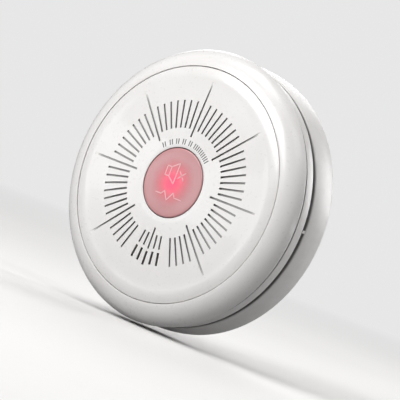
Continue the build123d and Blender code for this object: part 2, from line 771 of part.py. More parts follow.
with BuildPart() as battery_plug:
    with BuildSketch(front(20.0)):
        with Locations((-23.5, 0)):
            Rectangle(6.0, 5.0)
    extrude(amount=2.4)
    with BuildSketch(front(22.4)):
        with Locations((-24.6, 0)):
            Rectangle(2.6, 1.6)
    extrude(amount=0.5)
save(battery_plug, "battery_plug")

with BuildPart() as battery_socket:
    with BuildSketch(front(BOARD_FRONT)):
        with Locations((-20.5, 0)):
            Rectangle(5.0, 7.0)
    extrude(amount=4.0)
    with BuildSketch(front(19.9)):
        with Locations((-21.8, 0)):
            Rectangle(2.8, 5.2)
    extrude(amount=2.6, mode=Mode.SUBTRACT)
save(battery_socket, "battery_socket")

# ---------------------------------------------------------------- power slider
SLIDER_BACK = HOUSING_FLOOR + 0.1
SLIDER_FRONT = HOUSING_FLOOR + 2.4
with BuildPart() as power_slider:
    with BuildSketch(front(SLIDER_BACK)):
        add(sector(RAIL[1] + 0.25, DRUM_BORE - 0.3, 0.0, 13.0))
        with Locations((POST_RADIUS, 0)):
            Circle(1.75, mode=Mode.SUBTRACT)
    extrude(amount=SLIDER_FRONT - SLIDER_BACK)
save(power_slider, "power_slider")

with BuildPart() as slider_bridge:
    with BuildSketch(front(SLIDER_FRONT)):
        add(sector(42.0, 46.5, 0.0, 9.0))
    extrude(amount=0.4)
save(slider_bridge, "slider_bridge")

with BuildPart() as power_contacts:
    with BuildSketch(front(SLIDER_FRONT + 0.5)):
        with Locations((42.9, 1.8), (42.9, -1.8)):
            Rectangle(0.9, 1.2)
    extrude(amount=BOARD_DEPTH - SLIDER_FRONT - 0.5)
save(power_contacts, "power_contacts")

# ---------------------------------------------------------------- electronics
with BuildPart() as microcontroller:
    with BuildSketch(front(BOARD_FRONT + 0.1)):
        with Locations((27.0, 9.0)):
            Rectangle(7.0, 7.0)
    extrude(amount=1.2)
    with BuildSketch(front(BOARD_FRONT)):
        with Locations((27.0, 9.0)):
            with GridLocations(8.0, 0.8, 2, 8):
                Rectangle(1.1, 0.35)
            with GridLocations(0.8, 8.0, 8, 2):
                Rectangle(0.35, 1.1)
    extrude(amount=0.3)
save(microcontroller, "microcontroller")

with BuildPart() as driver_chip:
    with BuildSketch(front(BOARD_FRONT + 0.1)):
        with Locations((24.5, -9.0)):
            Rectangle(4.0, 5.0)
    extrude(amount=1.4)
    with BuildSketch(front(BOARD_FRONT)):
        with Locations((24.5, -9.0)):
            with GridLocations(5.0, 1.27, 2, 4):
                Rectangle(1.2, 0.4)
    extrude(amount=0.4)
save(driver_chip, "driver_chip")

with BuildPart() as storage_capacitors:
    with BuildSketch(front(8.9)):
        with Locations((23.0, 3.0), (23.0, -8.0)):
            Circle(4.0)
    extrude(amount=BOARD_DEPTH - 8.9)
    fillet(storage_capacitors.faces().sort_by(Axis.Y)[-2:].edges(), 0.6)
save(storage_capacitors, "storage_capacitors")

with BuildPart() as boost_inductor:
    with BuildSketch(front(BOARD_FRONT)):
        with Locations((36.0, -2.0)):
            Circle(4.0)
    extrude(amount=1.0)
    with BuildSketch(front(BOARD_FRONT + 1.0)):
        with Locations((36.0, -2.0)):
            Circle(3.2)
    extrude(amount=2.6)
    with BuildSketch(front(BOARD_FRONT + 3.6)):
        with Locations((36.0, -2.0)):
            Circle(4.0)
    extrude(amount=1.0)
save(boost_inductor, "boost_inductor")

with BuildPart() as small_components:
    with BuildSketch(front(BOARD_FRONT)):
        with Locations((0, 28.0)):
            with GridLocations(4.6, 4.2, 5, 4):
                Rectangle(2.0, 1.25)
        with Locations((33.0, -12.0), (33.0, -15.0), (30.0, -19.0), (18.0, 18.0), (-18.0, 14.0)):
            Rectangle(1.6, 0.8)
    extrude(amount=0.7)
save(small_components, "small_components")
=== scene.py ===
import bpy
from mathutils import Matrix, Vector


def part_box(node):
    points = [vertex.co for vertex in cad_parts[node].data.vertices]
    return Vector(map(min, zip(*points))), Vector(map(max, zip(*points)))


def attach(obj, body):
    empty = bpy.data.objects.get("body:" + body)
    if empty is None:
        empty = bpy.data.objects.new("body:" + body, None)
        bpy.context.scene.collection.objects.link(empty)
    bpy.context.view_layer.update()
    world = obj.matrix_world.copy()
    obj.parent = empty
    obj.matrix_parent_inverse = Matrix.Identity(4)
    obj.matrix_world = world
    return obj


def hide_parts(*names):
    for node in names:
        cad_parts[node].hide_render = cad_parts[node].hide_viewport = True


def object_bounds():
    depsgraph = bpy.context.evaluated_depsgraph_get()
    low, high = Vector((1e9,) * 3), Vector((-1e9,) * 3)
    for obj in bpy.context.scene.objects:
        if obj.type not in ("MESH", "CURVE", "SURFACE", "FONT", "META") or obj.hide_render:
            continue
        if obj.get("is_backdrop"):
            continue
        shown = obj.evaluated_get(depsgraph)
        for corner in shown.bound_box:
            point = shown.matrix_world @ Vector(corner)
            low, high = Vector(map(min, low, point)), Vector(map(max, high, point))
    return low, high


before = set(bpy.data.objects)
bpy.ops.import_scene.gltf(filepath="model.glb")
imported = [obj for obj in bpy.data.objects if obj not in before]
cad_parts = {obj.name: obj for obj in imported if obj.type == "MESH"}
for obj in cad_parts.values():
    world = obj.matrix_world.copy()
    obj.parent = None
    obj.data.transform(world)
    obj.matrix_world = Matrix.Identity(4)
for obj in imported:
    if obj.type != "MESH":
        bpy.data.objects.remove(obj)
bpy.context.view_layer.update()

"""Round smoke alarm: a domed head with a lit test button that twists on to a mounting base.

The alarm faces -Y from the wall plane y = 0, Z is up, and depth means distance out from the wall.
Lengths below are millimetres until a mesh is made, where MM turns them into metres.
"""
import logging
import math
from collections.abc import Callable, Iterator
from contextlib import contextmanager
from dataclasses import dataclass, field
from enum import Enum

import bpy
from mathutils import Matrix, Vector

Point = tuple[float, float]
Colour = tuple[float, float, float]
Mesh = bpy.types.Object
Socket = bpy.types.NodeSocket
Feeds = dict[str | int, object]

MM = 0.001
TURN = 2 * math.pi
UP = 90.0  # angles run from +X towards +Z, in degrees, as seen from the front
ROUND = 256  # faces round the large turned shells
DOUBLED = 0.002 * MM  # vertices nearer to each other than this are merged
SLIVER = 0.001 * MM  # edges shorter than this are dissolved
SCREW_CIRCLE = 45.0  # radius at which the four screws join the cover and the housing
SCREW_ANGLES = (45.0, 135.0, 225.0, 315.0)
log = logging.getLogger("smoke_alarm")


class Body(Enum):
    """Rigid bodies of the alarm that the pieces made here ride on."""

    BASE = "base"
    HEAD = "head"
    BUTTON = "button"


# ------------------------------------------------------------------ modelling by hand
def deselect_everything() -> None:
    """Leaves edit mode and clears the selection."""
    if bpy.context.mode != "OBJECT":
        bpy.ops.object.mode_set(mode="OBJECT")
    bpy.ops.object.select_all(action="DESELECT")


def isolate(piece: Mesh) -> None:
    """Makes one piece the only selected and active object.

    Args:
        piece: The piece.
    """
    deselect_everything()
    piece.select_set(True)
    bpy.context.view_layer.objects.active = piece


@contextmanager
def editing(piece: Mesh, select: str = "SELECT") -> Iterator[None]:
    """Edit mode on one piece.

    Args:
        piece: The mesh to edit.
        select: What to do with its selection on entry, SELECT or DESELECT.
    """
    isolate(piece)
    bpy.ops.object.mode_set(mode="EDIT")
    bpy.ops.mesh.select_all(action=select)
    yield
    bpy.ops.object.mode_set(mode="OBJECT")


@contextmanager
def editing_where(piece: Mesh, wanted: Callable[[Vector], bool]) -> Iterator[None]:
    """Edit mode on the vertices of a piece that pass a test.

    Args:
        piece: The mesh to edit.
        wanted: Says of a vertex's place, in metres, whether it is selected.
    """
    with editing(piece, "DESELECT"):
        bpy.ops.mesh.select_mode(type="VERT")
    for vertex in piece.data.vertices:
        vertex.select = wanted(vertex.co)
    bpy.ops.object.mode_set(mode="EDIT")
    yield
    bpy.ops.object.mode_set(mode="OBJECT")


def spot(radius: float, depth: float) -> Vector:
    """Point of the +X half-plane, in metres.

    Args:
        radius: Distance from the alarm's axis in millimetres.
        depth: Distance out from the wall in millimetres.

    Returns:
        The point in the row frame.
    """
    return Vector((radius, -depth, 0.0)) * MM


def seen(x: float, z: float, depth: float) -> Vector:
    """Point given as it is seen from the front, in millimetres, as a place in metres."""
    return Vector((x, -depth, z)) * MM


def polar(radius: float, angle: float) -> Point:
    """Point on a circle round the axis, at an angle in degrees."""
    return radius * math.cos(math.radians(angle)), radius * math.sin(math.radians(angle))


def screw_places() -> list[Point]:
    """Places of the four case screws, seen from the front."""
    return [polar(SCREW_CIRCLE, angle) for angle in SCREW_ANGLES]


def arc(start: Point, via: Point, end: Point, count: int) -> list[Point]:
    """Points of a circular arc through three points.

    Args:
        start: First point, which is not repeated in the result.
        via: A point between the two ends.
        end: Last point.
        count: How many straight steps the arc is made of.

    Returns:
        The points after the start.
    """
    (ax, ay), (bx, by), (cx, cy) = start, via, end
    d = 2 * (ax * (by - cy) + bx * (cy - ay) + cx * (ay - by))
    a2, b2, c2 = ax * ax + ay * ay, bx * bx + by * by, cx * cx + cy * cy
    ux = (a2 * (by - cy) + b2 * (cy - ay) + c2 * (ay - by)) / d
    uy = (a2 * (cx - bx) + b2 * (ax - cx) + c2 * (bx - ax)) / d
    radius = math.hypot(ax - ux, ay - uy)
    first = math.atan2(ay - uy, ax - ux)
    middle = (math.atan2(by - uy, bx - ux) - first) % TURN
    last = (math.atan2(cy - uy, cx - ux) - first) % TURN
    if middle > last:
        last -= TURN
    steps = (first + last * k / count for k in range(1, count + 1))
    return [(ux + radius * math.cos(t), uy + radius * math.sin(t)) for t in steps]


def mend() -> None:
    """Merges the selection's doubled vertices and dissolves its slivers."""
    bpy.ops.mesh.remove_doubles(threshold=DOUBLED)
    bpy.ops.mesh.dissolve_degenerate(threshold=SLIVER)


def tidy(piece: Mesh) -> None:
    """Mends a piece and turns every face outwards.

    Args:
        piece: The mesh to mend.
    """
    with editing(piece):
        mend()
        bpy.ops.mesh.select_all(action="SELECT")
        bpy.ops.mesh.normals_make_consistent(inside=False)


def settled(name: str) -> Mesh:
    """Names the primitive just added and puts its place into its mesh.

    Args:
        name: Its name.

    Returns:
        The primitive, with its object at the origin, unturned and unscaled.
    """
    piece = bpy.context.object
    piece.name = piece.data.name = name
    isolate(piece)
    bpy.ops.object.transform_apply(location=True, rotation=True, scale=True)
    return piece


def drawn(name: str, outline: list[Point]) -> Mesh:
    """Chain of edges in the +X half-plane, drawn by extruding one vertex.

    Args:
        name: Name of the new object.
        outline: Radius and depth of each corner in millimetres. The chain closes on itself unless
            both of its ends lie on the alarm's axis.

    Returns:
        The object, with its place in its mesh.
    """
    deselect_everything()
    bpy.ops.mesh.primitive_plane_add(size=MM, location=spot(*outline[0]))
    piece = settled(name)
    with editing(piece):
        bpy.ops.mesh.merge(type="CENTER")
        on_axis = outline[0][0] == outline[-1][0] == 0
        following = outline[1:] if on_axis else outline[1:] + outline[:1]
        for here, there in zip(outline, following):
            step = spot(*there) - spot(*here)
            bpy.ops.mesh.extrude_region_move(TRANSFORM_OT_translate={"value": step})
        bpy.ops.mesh.select_all(action="SELECT")
        bpy.ops.mesh.remove_doubles(threshold=SLIVER)
    return piece


def turned(name: str, outline: list[Point], steps: int = 192) -> Mesh:
    """Lathe-turned piece: an outline spun once round the alarm's axis.

    Args:
        name: Name of the new object.
        outline: Radius and depth of each corner in millimetres, as a closed outline.
        steps: Number of faces round the piece.

    Returns:
        The closed mesh.
    """
    piece = drawn(name, outline)
    with editing(piece):
        bpy.ops.mesh.spin(steps=steps, angle=TURN, center=(0, 0, 0), axis=(0, 1, 0))
    tidy(piece)
    return piece


def sector(name: str, radii: Point, depths: Point, middle: float, span: float, steps: int = 12) -> Mesh:
    """Block shaped like a piece of a ring.

    Args:
        name: Name of the new object.
        radii: Inner and outer radius in millimetres.
        depths: Near and far distance from the wall in millimetres.
        middle: Angle of its middle in degrees.
        span: Angle that it covers in degrees.
        steps: Faces along its curved sides.

    Returns:
        The closed mesh.
    """
    (inner, outer), (low, high) = radii, depths
    piece = drawn(name, [(inner, low), (outer, low), (outer, high), (inner, high)])
    with editing(piece):
        bpy.ops.mesh.edge_face_add()
        turn_about_axis(middle - span / 2)
        bpy.ops.mesh.spin(steps=steps, angle=math.radians(span), center=(0, 0, 0), axis=(0, 1, 0))
    tidy(piece)
    return piece


def turn_about_axis(angle: float) -> None:
    """Turns the selection round the alarm's axis by an angle in degrees, seen from the front."""
    bpy.ops.transform.rotate(value=math.radians(angle), orient_axis="Y", center_override=(0, 0, 0))


def peg(name: str, centre: Point, radius: float, depths: Point, sides: int = 48) -> Mesh:
    """Round peg along the alarm's axis, or the tool that drills such a hole.

    Args:
        name: Name of the new object.
        centre: Place seen from the front, in millimetres.
        radius: Radius in millimetres.
        depths: Near and far distance from the wall in millimetres.
        sides: Number of faces round it.

    Returns:
        The closed mesh.
    """
    low, high = depths
    deselect_everything()
    bpy.ops.mesh.primitive_cylinder_add(
        vertices=sides,
        radius=radius * MM,
        depth=(high - low) * MM,
        location=seen(*centre, (low + high) / 2),
        rotation=(math.pi / 2, 0, 0),
    )
    return settled(name)


def bar(name: str, centre: Point, size: Point, depths: Point, turn: float = 0.0) -> Mesh:
    """Square-edged bar, such as a rib or the tool that mills a groove.

    Args:
        name: Name of the new object.
        centre: Place seen from the front, in millimetres.
        size: Length and width in millimetres.
        depths: Near and far distance from the wall in millimetres.
        turn: Angle of its length in degrees.

    Returns:
        The closed mesh.
    """
    low, high = depths
    deselect_everything()
    bpy.ops.mesh.primitive_cube_add(
        size=1.0,
        location=seen(*centre, (low + high) / 2),
        rotation=(0, -math.radians(turn), 0),
        scale=(size[0] * MM, (high - low) * MM, size[1] * MM),
    )
    return settled(name)


def joined(name: str, parts: list[Mesh]) -> Mesh:
    """Joins meshes into one object.

    Args:
        name: Name of the joined object.
        parts: The meshes, which must not be none.

    Returns:
        The joined object.
    """
    deselect_everything()
    for part in parts:
        part.select_set(True)
    bpy.context.view_layer.objects.active = parts[0]
    if len(parts) > 1:
        bpy.ops.object.join()
    piece = bpy.context.object
    piece.name = piece.data.name = name
    return piece


def combine(piece: Mesh, tools: list[Mesh], how: str, flat: bool = False) -> None:
    """Cuts tools out of a piece, or grows it by them, and removes them.

    Args:
        piece: The mesh that stays.
        tools: Closed meshes.
        how: DIFFERENCE or UNION.
        flat: Whether both meshes are cut into triangles first.
    """
    tool = joined("tool", tools)
    for mesh in (piece, tool) if flat else ():
        with editing(mesh):
            bpy.ops.mesh.quads_convert_to_tris()
    isolate(piece)
    modifier = piece.modifiers.new("combine", "BOOLEAN")
    modifier.operation = how
    modifier.solver = "EXACT"
    modifier.object = tool
    bpy.ops.object.modifier_apply(modifier=modifier.name)
    bpy.data.objects.remove(tool)
    with editing(piece):
        mend()


def smooth(piece: Mesh, angle: float = 32.0) -> None:
    """Shades a piece smooth, with edges sharper than an angle left crisp."""
    isolate(piece)
    bpy.ops.object.shade_smooth_by_angle(angle=math.radians(angle))


# ------------------------------------------------------------------ shared shader effects
class Tree:
    """A node tree with short ways to add nodes and join them."""

    def __init__(self, tree: bpy.types.NodeTree) -> None:
        """Keeps the tree that is being filled."""
        self.tree = tree

    def add(self, kind: str, feeds: Feeds | None = None, **settings: object) -> bpy.types.Node:
        """Adds one node.

        Args:
            kind: The node's type, without the ShaderNode prefix.
            feeds: What each input gets: another node's output, or a plain value.
            settings: Properties of the node.

        Returns:
            The new node.
        """
        node = self.tree.nodes.new("ShaderNode" + kind)
        for name, value in settings.items():
            setattr(node, name, value)
        for place, value in (feeds or {}).items():
            self.feed(node.inputs[place], value)
        return node

    def feed(self, socket: Socket, value: object) -> None:
        """Links an output to a socket, or sets the socket's own value.

        Args:
            socket: The input.
            value: Another node's output, or a plain value.
        """
        if isinstance(value, bpy.types.NodeSocket):
            self.tree.links.new(value, socket)
        else:
            socket.default_value = value

    def maths(self, how: str, *values: object) -> Socket:
        """Result of a Math node on up to three values."""
        return self.add("Math", dict(enumerate(values)), operation=how).outputs[0]

    def blend(self, share: object, low: object, high: object) -> Socket:
        """Colour between two colours."""
        node = self.add("Mix", {0: share, 6: low, 7: high}, data_type="RGBA")
        return node.outputs[2]

    def fade(self, value: object, start: float, end: float, low: float = 0.0, high: float = 1.0) -> Socket:
        """Smooth change from low to high as a value goes from start to end."""
        feeds = {"Value": value, "From Min": start, "From Max": end, "To Min": low, "To Max": high}
        return self.add("MapRange", feeds, interpolation_type="SMOOTHSTEP").outputs[0]

    def depth(self, place: Socket) -> Socket:
        """Distance out from the wall in millimetres."""
        return self.maths("MULTIPLY", self.add("SeparateXYZ", {0: place}).outputs[1], -1 / MM)

    def radius(self, place: Socket) -> Socket:
        """Distance from the alarm's axis in millimetres.

        Args:
            place: Place on the surface.

        Returns:
            The distance.
        """
        parts = self.add("SeparateXYZ", {0: place}).outputs
        square = self.maths("ADD", self.maths("POWER", parts[0], 2.0), self.maths("POWER", parts[2], 2.0))
        return self.maths("MULTIPLY", self.maths("SQRT", square), 1 / MM)


@dataclass(frozen=True)
class Effect:
    """A shader node group that several finishes share."""

    name: str
    inputs: tuple[tuple[str, str, object], ...]
    outputs: tuple[tuple[str, str], ...]
    fill: Callable[[Tree, dict[str, Socket]], dict[str, Socket]]

    def group(self) -> bpy.types.NodeTree:
        """Builds the group the first time it is asked for, and gives it again later.

        Returns:
            The group's node tree.
        """
        found = bpy.data.node_groups.get(self.name)
        if found:
            return found
        group = bpy.data.node_groups.new(self.name, "ShaderNodeTree")
        for name, kind, value in self.inputs:
            socket = group.interface.new_socket(name, in_out="INPUT", socket_type="NodeSocket" + kind)
            if value is not None:
                socket.default_value = value
        for name, kind in self.outputs:
            group.interface.new_socket(name, in_out="OUTPUT", socket_type="NodeSocket" + kind)
        entry = group.nodes.new("NodeGroupInput")
        leave = group.nodes.new("NodeGroupOutput")
        made = self.fill(Tree(group), {name: entry.outputs[name] for name, _, _ in self.inputs})
        for name, value in made.items():
            group.links.new(value, leave.inputs[name])
        return group

    def place(self, tree: Tree, **feeds: object) -> bpy.types.Node:
        """Places the group in a material.

        Args:
            tree: The material's tree.
            feeds: Values of the group's inputs, by name.

        Returns:
            The group node.
        """
        node = tree.add("Group", node_tree=self.group())
        for name, value in feeds.items():
            tree.feed(node.inputs[name], value)
        return node


def fill_grain(tree: Tree, given: dict[str, Socket]) -> dict[str, Socket]:
    """Fine moulded texture over slow waves in the surface.

    Args:
        tree: The group's tree.
        given: The group's inputs, by name.

    Returns:
        What the group puts out, by name.
    """
    fine = tree.add("TexNoise", {"Vector": given["Place"], "Scale": given["Fineness"], "Detail": 3.0})
    slow_scale = tree.maths("MULTIPLY", given["Fineness"], 0.06)
    slow = tree.add("TexNoise", {"Vector": given["Place"], "Scale": slow_scale, "Detail": 1.0})
    height = tree.maths("ADD", tree.maths("MULTIPLY", fine.outputs[0], 0.35), slow.outputs[0])
    return {"Height": height, "Mask": fine.outputs[0]}


def fill_mottle(tree: Tree, given: dict[str, Socket]) -> dict[str, Socket]:
    """Slow cloudy change between two shades of one colour.

    Args:
        tree: The group's tree.
        given: The group's inputs, by name.

    Returns:
        What the group puts out, by name.
    """
    cloud = tree.add("TexNoise", {"Vector": given["Place"], "Scale": given["Fineness"], "Detail": 4.0})
    share = tree.fade(cloud.outputs[0], 0.3, 0.7)
    return {"Colour": tree.blend(share, given["Light"], given["Dark"]), "Mask": share}


def fill_wear(tree: Tree, given: dict[str, Socket]) -> dict[str, Socket]:
    """Broken band of wear round the alarm, where a turned edge stands out.

    Args:
        tree: The group's tree.
        given: The group's inputs, by name.

    Returns:
        What the group puts out, by name.
    """
    away = tree.maths("ABSOLUTE", tree.maths("SUBTRACT", tree.radius(given["Place"]), given["Radius"]))
    band = tree.maths("SUBTRACT", 1.0, tree.maths("DIVIDE", away, given["Width"]))
    patches = tree.add("TexNoise", {"Vector": given["Place"], "Scale": 260.0, "Detail": 5.0})
    broken = tree.fade(patches.outputs[0], 0.42, 0.66)
    clamped = tree.add("Clamp", {0: band}).outputs[0]
    return {"Mask": tree.maths("MULTIPLY", clamped, broken)}


def fill_dust(tree: Tree, given: dict[str, Socket]) -> dict[str, Socket]:
    """Thin dust where a surface faces up.

    Args:
        tree: The group's tree.
        given: The group's inputs, by name.

    Returns:
        What the group puts out, by name.
    """
    up = tree.add("SeparateXYZ", {0: given["Facing"]}).outputs[2]
    specks = tree.add("TexNoise", {"Vector": given["Place"], "Scale": 900.0, "Detail": 2.0})
    spread = tree.fade(specks.outputs[0], 0.4, 0.75)
    lying = tree.fade(up, 0.55, 1.0)
    return {"Mask": tree.maths("MULTIPLY", lying, spread)}


PLACE = ("Place", "Vector", None)
FINENESS = ("Fineness", "Float", 500.0)
GRAIN = Effect("moulded_grain", (PLACE, FINENESS), (("Height", "Float"), ("Mask", "Float")), fill_grain)
MOTTLE = Effect(
    "cloudy_colour",
    (PLACE, FINENESS, ("Light", "Color", (1, 1, 1, 1)), ("Dark", "Color", (1, 1, 1, 1))),
    (("Colour", "Color"), ("Mask", "Float")),
    fill_mottle,
)
WEAR = Effect(
    "ring_wear", (PLACE, ("Radius", "Float", 50.0), ("Width", "Float", 1.0)), (("Mask", "Float"),), fill_wear
)
DUST = Effect("settled_dust", (PLACE, ("Facing", "Vector", None)), (("Mask", "Float"),), fill_dust)


# ------------------------------------------------------------------ the finishes
DUST_COLOUR = (0.52, 0.49, 0.45, 1.0)
# Painted shade: a dark colour painted into the face's grooves and the shell's gaps, where shade falls.
PAINTED_SHADE_COLOUR = (0.16, 0.155, 0.15, 1.0)


@dataclass(frozen=True)
class Finish:
    """Surface of one kind of part: two shades, gloss and fine grain."""

    colour: Colour
    shade: Colour
    roughness: float = 0.4
    grain: float = 0.03
    fineness: float = 900.0
    metallic: float = 0.0
    coat: float = 0.0
    dusty: float = 0.03

    def tree(self, name: str) -> tuple[bpy.types.Material, Tree, bpy.types.Node, Socket]:
        """Starts a material.

        Args:
            name: Name of the material.

        Returns:
            The material, its tree, its Principled shader and the place on the surface.
        """
        material = bpy.data.materials.new(name)
        material.use_nodes = True
        tree = Tree(material.node_tree)
        shader = material.node_tree.nodes["Principled BSDF"]
        place = tree.add("TexCoord").outputs["Object"]
        return material, tree, shader, place

    def tint(self, tree: Tree, place: Socket) -> Socket:
        """Base colour before dust."""
        shades = {"Light": (*self.colour, 1.0), "Dark": (*self.shade, 1.0)}
        return MOTTLE.place(tree, Place=place, Fineness=45.0, **shades).outputs["Colour"]

    def relief(self, tree: Tree, place: Socket, height: Socket) -> Socket:
        """Height that the bump uses."""
        return height

    def dress(self, tree: Tree, shader: bpy.types.Node, place: Socket) -> None:
        """What a finish adds beyond colour, roughness and grain."""
        tree.feed(shader.inputs["Coat Weight"], self.coat)

    def build(self, name: str) -> bpy.types.Material:
        """Makes the material.

        Args:
            name: Name of the material.

        Returns:
            The finished material.
        """
        material, tree, shader, place = self.tree(name)
        facing = tree.add("TexCoord").outputs["Normal"]
        grain = GRAIN.place(tree, Place=place, Fineness=self.fineness)
        dust = DUST.place(tree, Place=place, Facing=facing).outputs["Mask"]
        share = tree.maths("MULTIPLY", dust, self.dusty)
        tree.feed(shader.inputs["Base Color"], tree.blend(share, self.tint(tree, place), DUST_COLOUR))
        gloss = tree.fade(grain.outputs["Mask"], 0.3, 0.7, self.roughness * 0.9, self.roughness * 1.12)
        tree.feed(shader.inputs["Roughness"], tree.maths("ADD", gloss, tree.maths("MULTIPLY", share, 0.6)))
        height = self.relief(tree, place, grain.outputs["Height"])
        bump = tree.add("Bump", {"Height": height, "Strength": self.grain, "Distance": 0.1 * MM})
        tree.feed(shader.inputs["Normal"], bump.outputs[0])
        tree.feed(shader.inputs["Metallic"], self.metallic)
        self.dress(tree, shader, place)
        return material


@dataclass(frozen=True)
class Moulding(Finish):
    """White moulded shell, dulled along its turned edges, with painted shade in its grooves and gaps.

    The edges are radii in millimetres. A gap that gets painted shade runs round the body, given by its back
    and front depth and the radius at which its painted shade has faded out.
    """

    worn: Colour = (0.72, 0.70, 0.68)
    edges: tuple[float, ...] = ()
    edge_width: float = 0.7
    # Share of painted shade in the face's grooves, where they lie below the dome.
    groove_painted_shade: float = 0.0
    # Gaps round the body that get painted shade, and how dark that painted shade is.
    gaps: tuple[tuple[float, float, float], ...] = ()
    gap_painted_shade: float = 0.8

    def tint(self, tree: Tree, place: Socket) -> Socket:
        """Base colour with worn edges, and painted shade below the dome's surface and in the gaps.

        Args:
            tree: The material's tree.
            place: Place on the surface.

        Returns:
            The colour.
        """
        colour = super().tint(tree, place)
        for radius in self.edges:
            mask = WEAR.place(tree, Place=place, Radius=radius, Width=self.edge_width).outputs["Mask"]
            colour = tree.blend(tree.maths("MULTIPLY", mask, 0.5), colour, (*self.worn, 1.0))
        # Painted shade: the grooves below the dome and the gaps round the body get a dark colour where shade
        # falls.
        if self.groove_painted_shade:
            colour = tree.blend(self.below_dome(tree, place), colour, PAINTED_SHADE_COLOUR)
        for gap in self.gaps:
            colour = tree.blend(self.painted_gap_shade(tree, place, *gap), colour, PAINTED_SHADE_COLOUR)
        return colour

    def painted_gap_shade(self, tree: Tree, place: Socket, back: float, front: float, rim: float) -> Socket:
        """Mask of the painted shade in a narrow gap that runs round the body.

        Args:
            tree: The material's tree.
            place: Place on the surface.
            back: Depth of its side nearer to the wall, in millimetres.
            front: Depth of its other side.
            rim: Radius at which the painted shade has faded out.

        Returns:
            How much shade is painted on the surface.
        """
        depth = tree.depth(place)
        behind, before = tree.maths("GREATER_THAN", depth, back), tree.maths("LESS_THAN", depth, front)
        inward = tree.fade(tree.radius(place), rim - 0.7, rim, self.gap_painted_shade, 0.0)
        return tree.maths("MULTIPLY", tree.maths("MULTIPLY", behind, before), inward)

    def below_dome(self, tree: Tree, place: Socket) -> Socket:
        """Mask of the painted shade in the face's grooves, where they lie below its surface.

        Args:
            tree: The material's tree.
            place: Place on the surface.

        Returns:
            How much shade is painted on the surface.
        """
        face = FaceDisc()
        radius = tree.radius(place)
        fall = tree.maths("DIVIDE", tree.maths("POWER", radius, 2.0), 2 * face.curvature())
        surface = tree.maths("SUBTRACT", face.crown, fall)
        under = tree.maths("SUBTRACT", surface, tree.depth(place))
        inside = tree.maths("LESS_THAN", radius, face.shoulder[0] - 1.0)
        mask = tree.maths("MULTIPLY", tree.fade(under, 0.06, 0.35), inside)
        return tree.maths("MULTIPLY", mask, self.groove_painted_shade)


@dataclass(frozen=True)
class PaintedGlowLens(Finish):
    """Frosted red lens; the light from behind its middle is a painted glow in its colour and its emission."""

    # Painted glow: the deep red middle, the colour between and the emission stand in for light shining
    # through from behind.
    middle: Colour = (0.50, 0.015, 0.05)
    between: Colour = (0.52, 0.11, 0.13)
    painted_glow: Colour = (0.62, 0.03, 0.11)
    middle_fade: Point = (0.5, 6.0)
    rim_fade: Point = (5.0, 12.0)
    wander: float = 2.6
    painted_glow_reach: float = 11.0

    def tint(self, tree: Tree, place: Socket) -> Socket:
        """Colour that goes from deep red in the middle to dull pink at the rim; the deep red middle is
        painted glow.

        Args:
            tree: The material's tree.
            place: Place on the surface.

        Returns:
            The colour.
        """
        radius = tree.radius(place)
        cloud = tree.add("TexNoise", {"Vector": place, "Scale": 320.0, "Detail": 3.0}).outputs[0]
        shift = tree.maths("MULTIPLY", tree.maths("SUBTRACT", cloud, 0.5), self.wander)
        wandering = tree.maths("ADD", radius, shift)
        inner = tree.blend(tree.fade(wandering, *self.middle_fade), (*self.middle, 1.0), (*self.between, 1.0))
        return tree.blend(tree.fade(wandering, *self.rim_fade), inner, super().tint(tree, place))

    def dress(self, tree: Tree, shader: bpy.types.Node, place: Socket) -> None:
        """Adds a painted glow, as emission, for the light that comes through.

        Args:
            tree: The material's tree.
            shader: Its Principled shader.
            place: Place on the surface.
        """
        super().dress(tree, shader, place)
        # Painted glow: emission brightest in the middle, fading out towards the rim.
        near = tree.fade(tree.radius(place), 0.0, self.painted_glow_reach, 1.0, 0.0)
        lit = tree.blend(tree.maths("POWER", near, 1.5), (0.0, 0.0, 0.0, 1.0), (*self.painted_glow, 1.0))
        tree.feed(shader.inputs["Emission Color"], lit)
        tree.feed(shader.inputs["Emission Strength"], 1.0)


@dataclass(frozen=True)
class CircuitLaminate(Finish):
    """Green solder mask with copper tracks under it."""

    track: Colour = (0.05, 0.22, 0.08)

    def tint(self, tree: Tree, place: Socket) -> Socket:
        """Green with lighter lines where tracks run.

        Args:
            tree: The material's tree.
            place: Place on the surface.

        Returns:
            The colour.
        """
        flat = tree.add("Mapping", {"Vector": place, "Rotation": (math.pi / 2, 0.0, 0.0)}).outputs[0]
        cells = tree.add("TexBrick", {"Vector": flat, "Scale": 160.0, "Mortar Size": 0.09})
        tracks = tree.maths("MULTIPLY", cells.outputs["Fac"], 0.7)
        return tree.blend(tracks, super().tint(tree, place), (*self.track, 1.0))


@dataclass(frozen=True)
class WovenMesh(Finish):
    """Fine steel gauze."""

    def relief(self, tree: Tree, place: Socket, height: Socket) -> Socket:
        """Crossing wires over the grain.

        Args:
            tree: The material's tree.
            place: Place on the surface.
            height: Height of the grain.

        Returns:
            The height that the bump uses.
        """
        feeds = {"Vector": place, "Scale": 700.0, "Distortion": 0.0}
        over = tree.add("TexWave", feeds, bands_direction="X").outputs["Fac"]
        along = tree.add("TexWave", feeds, bands_direction="Z").outputs["Fac"]
        return tree.maths("ADD", height, tree.maths("MULTIPLY", tree.maths("MAXIMUM", over, along), 3.0))


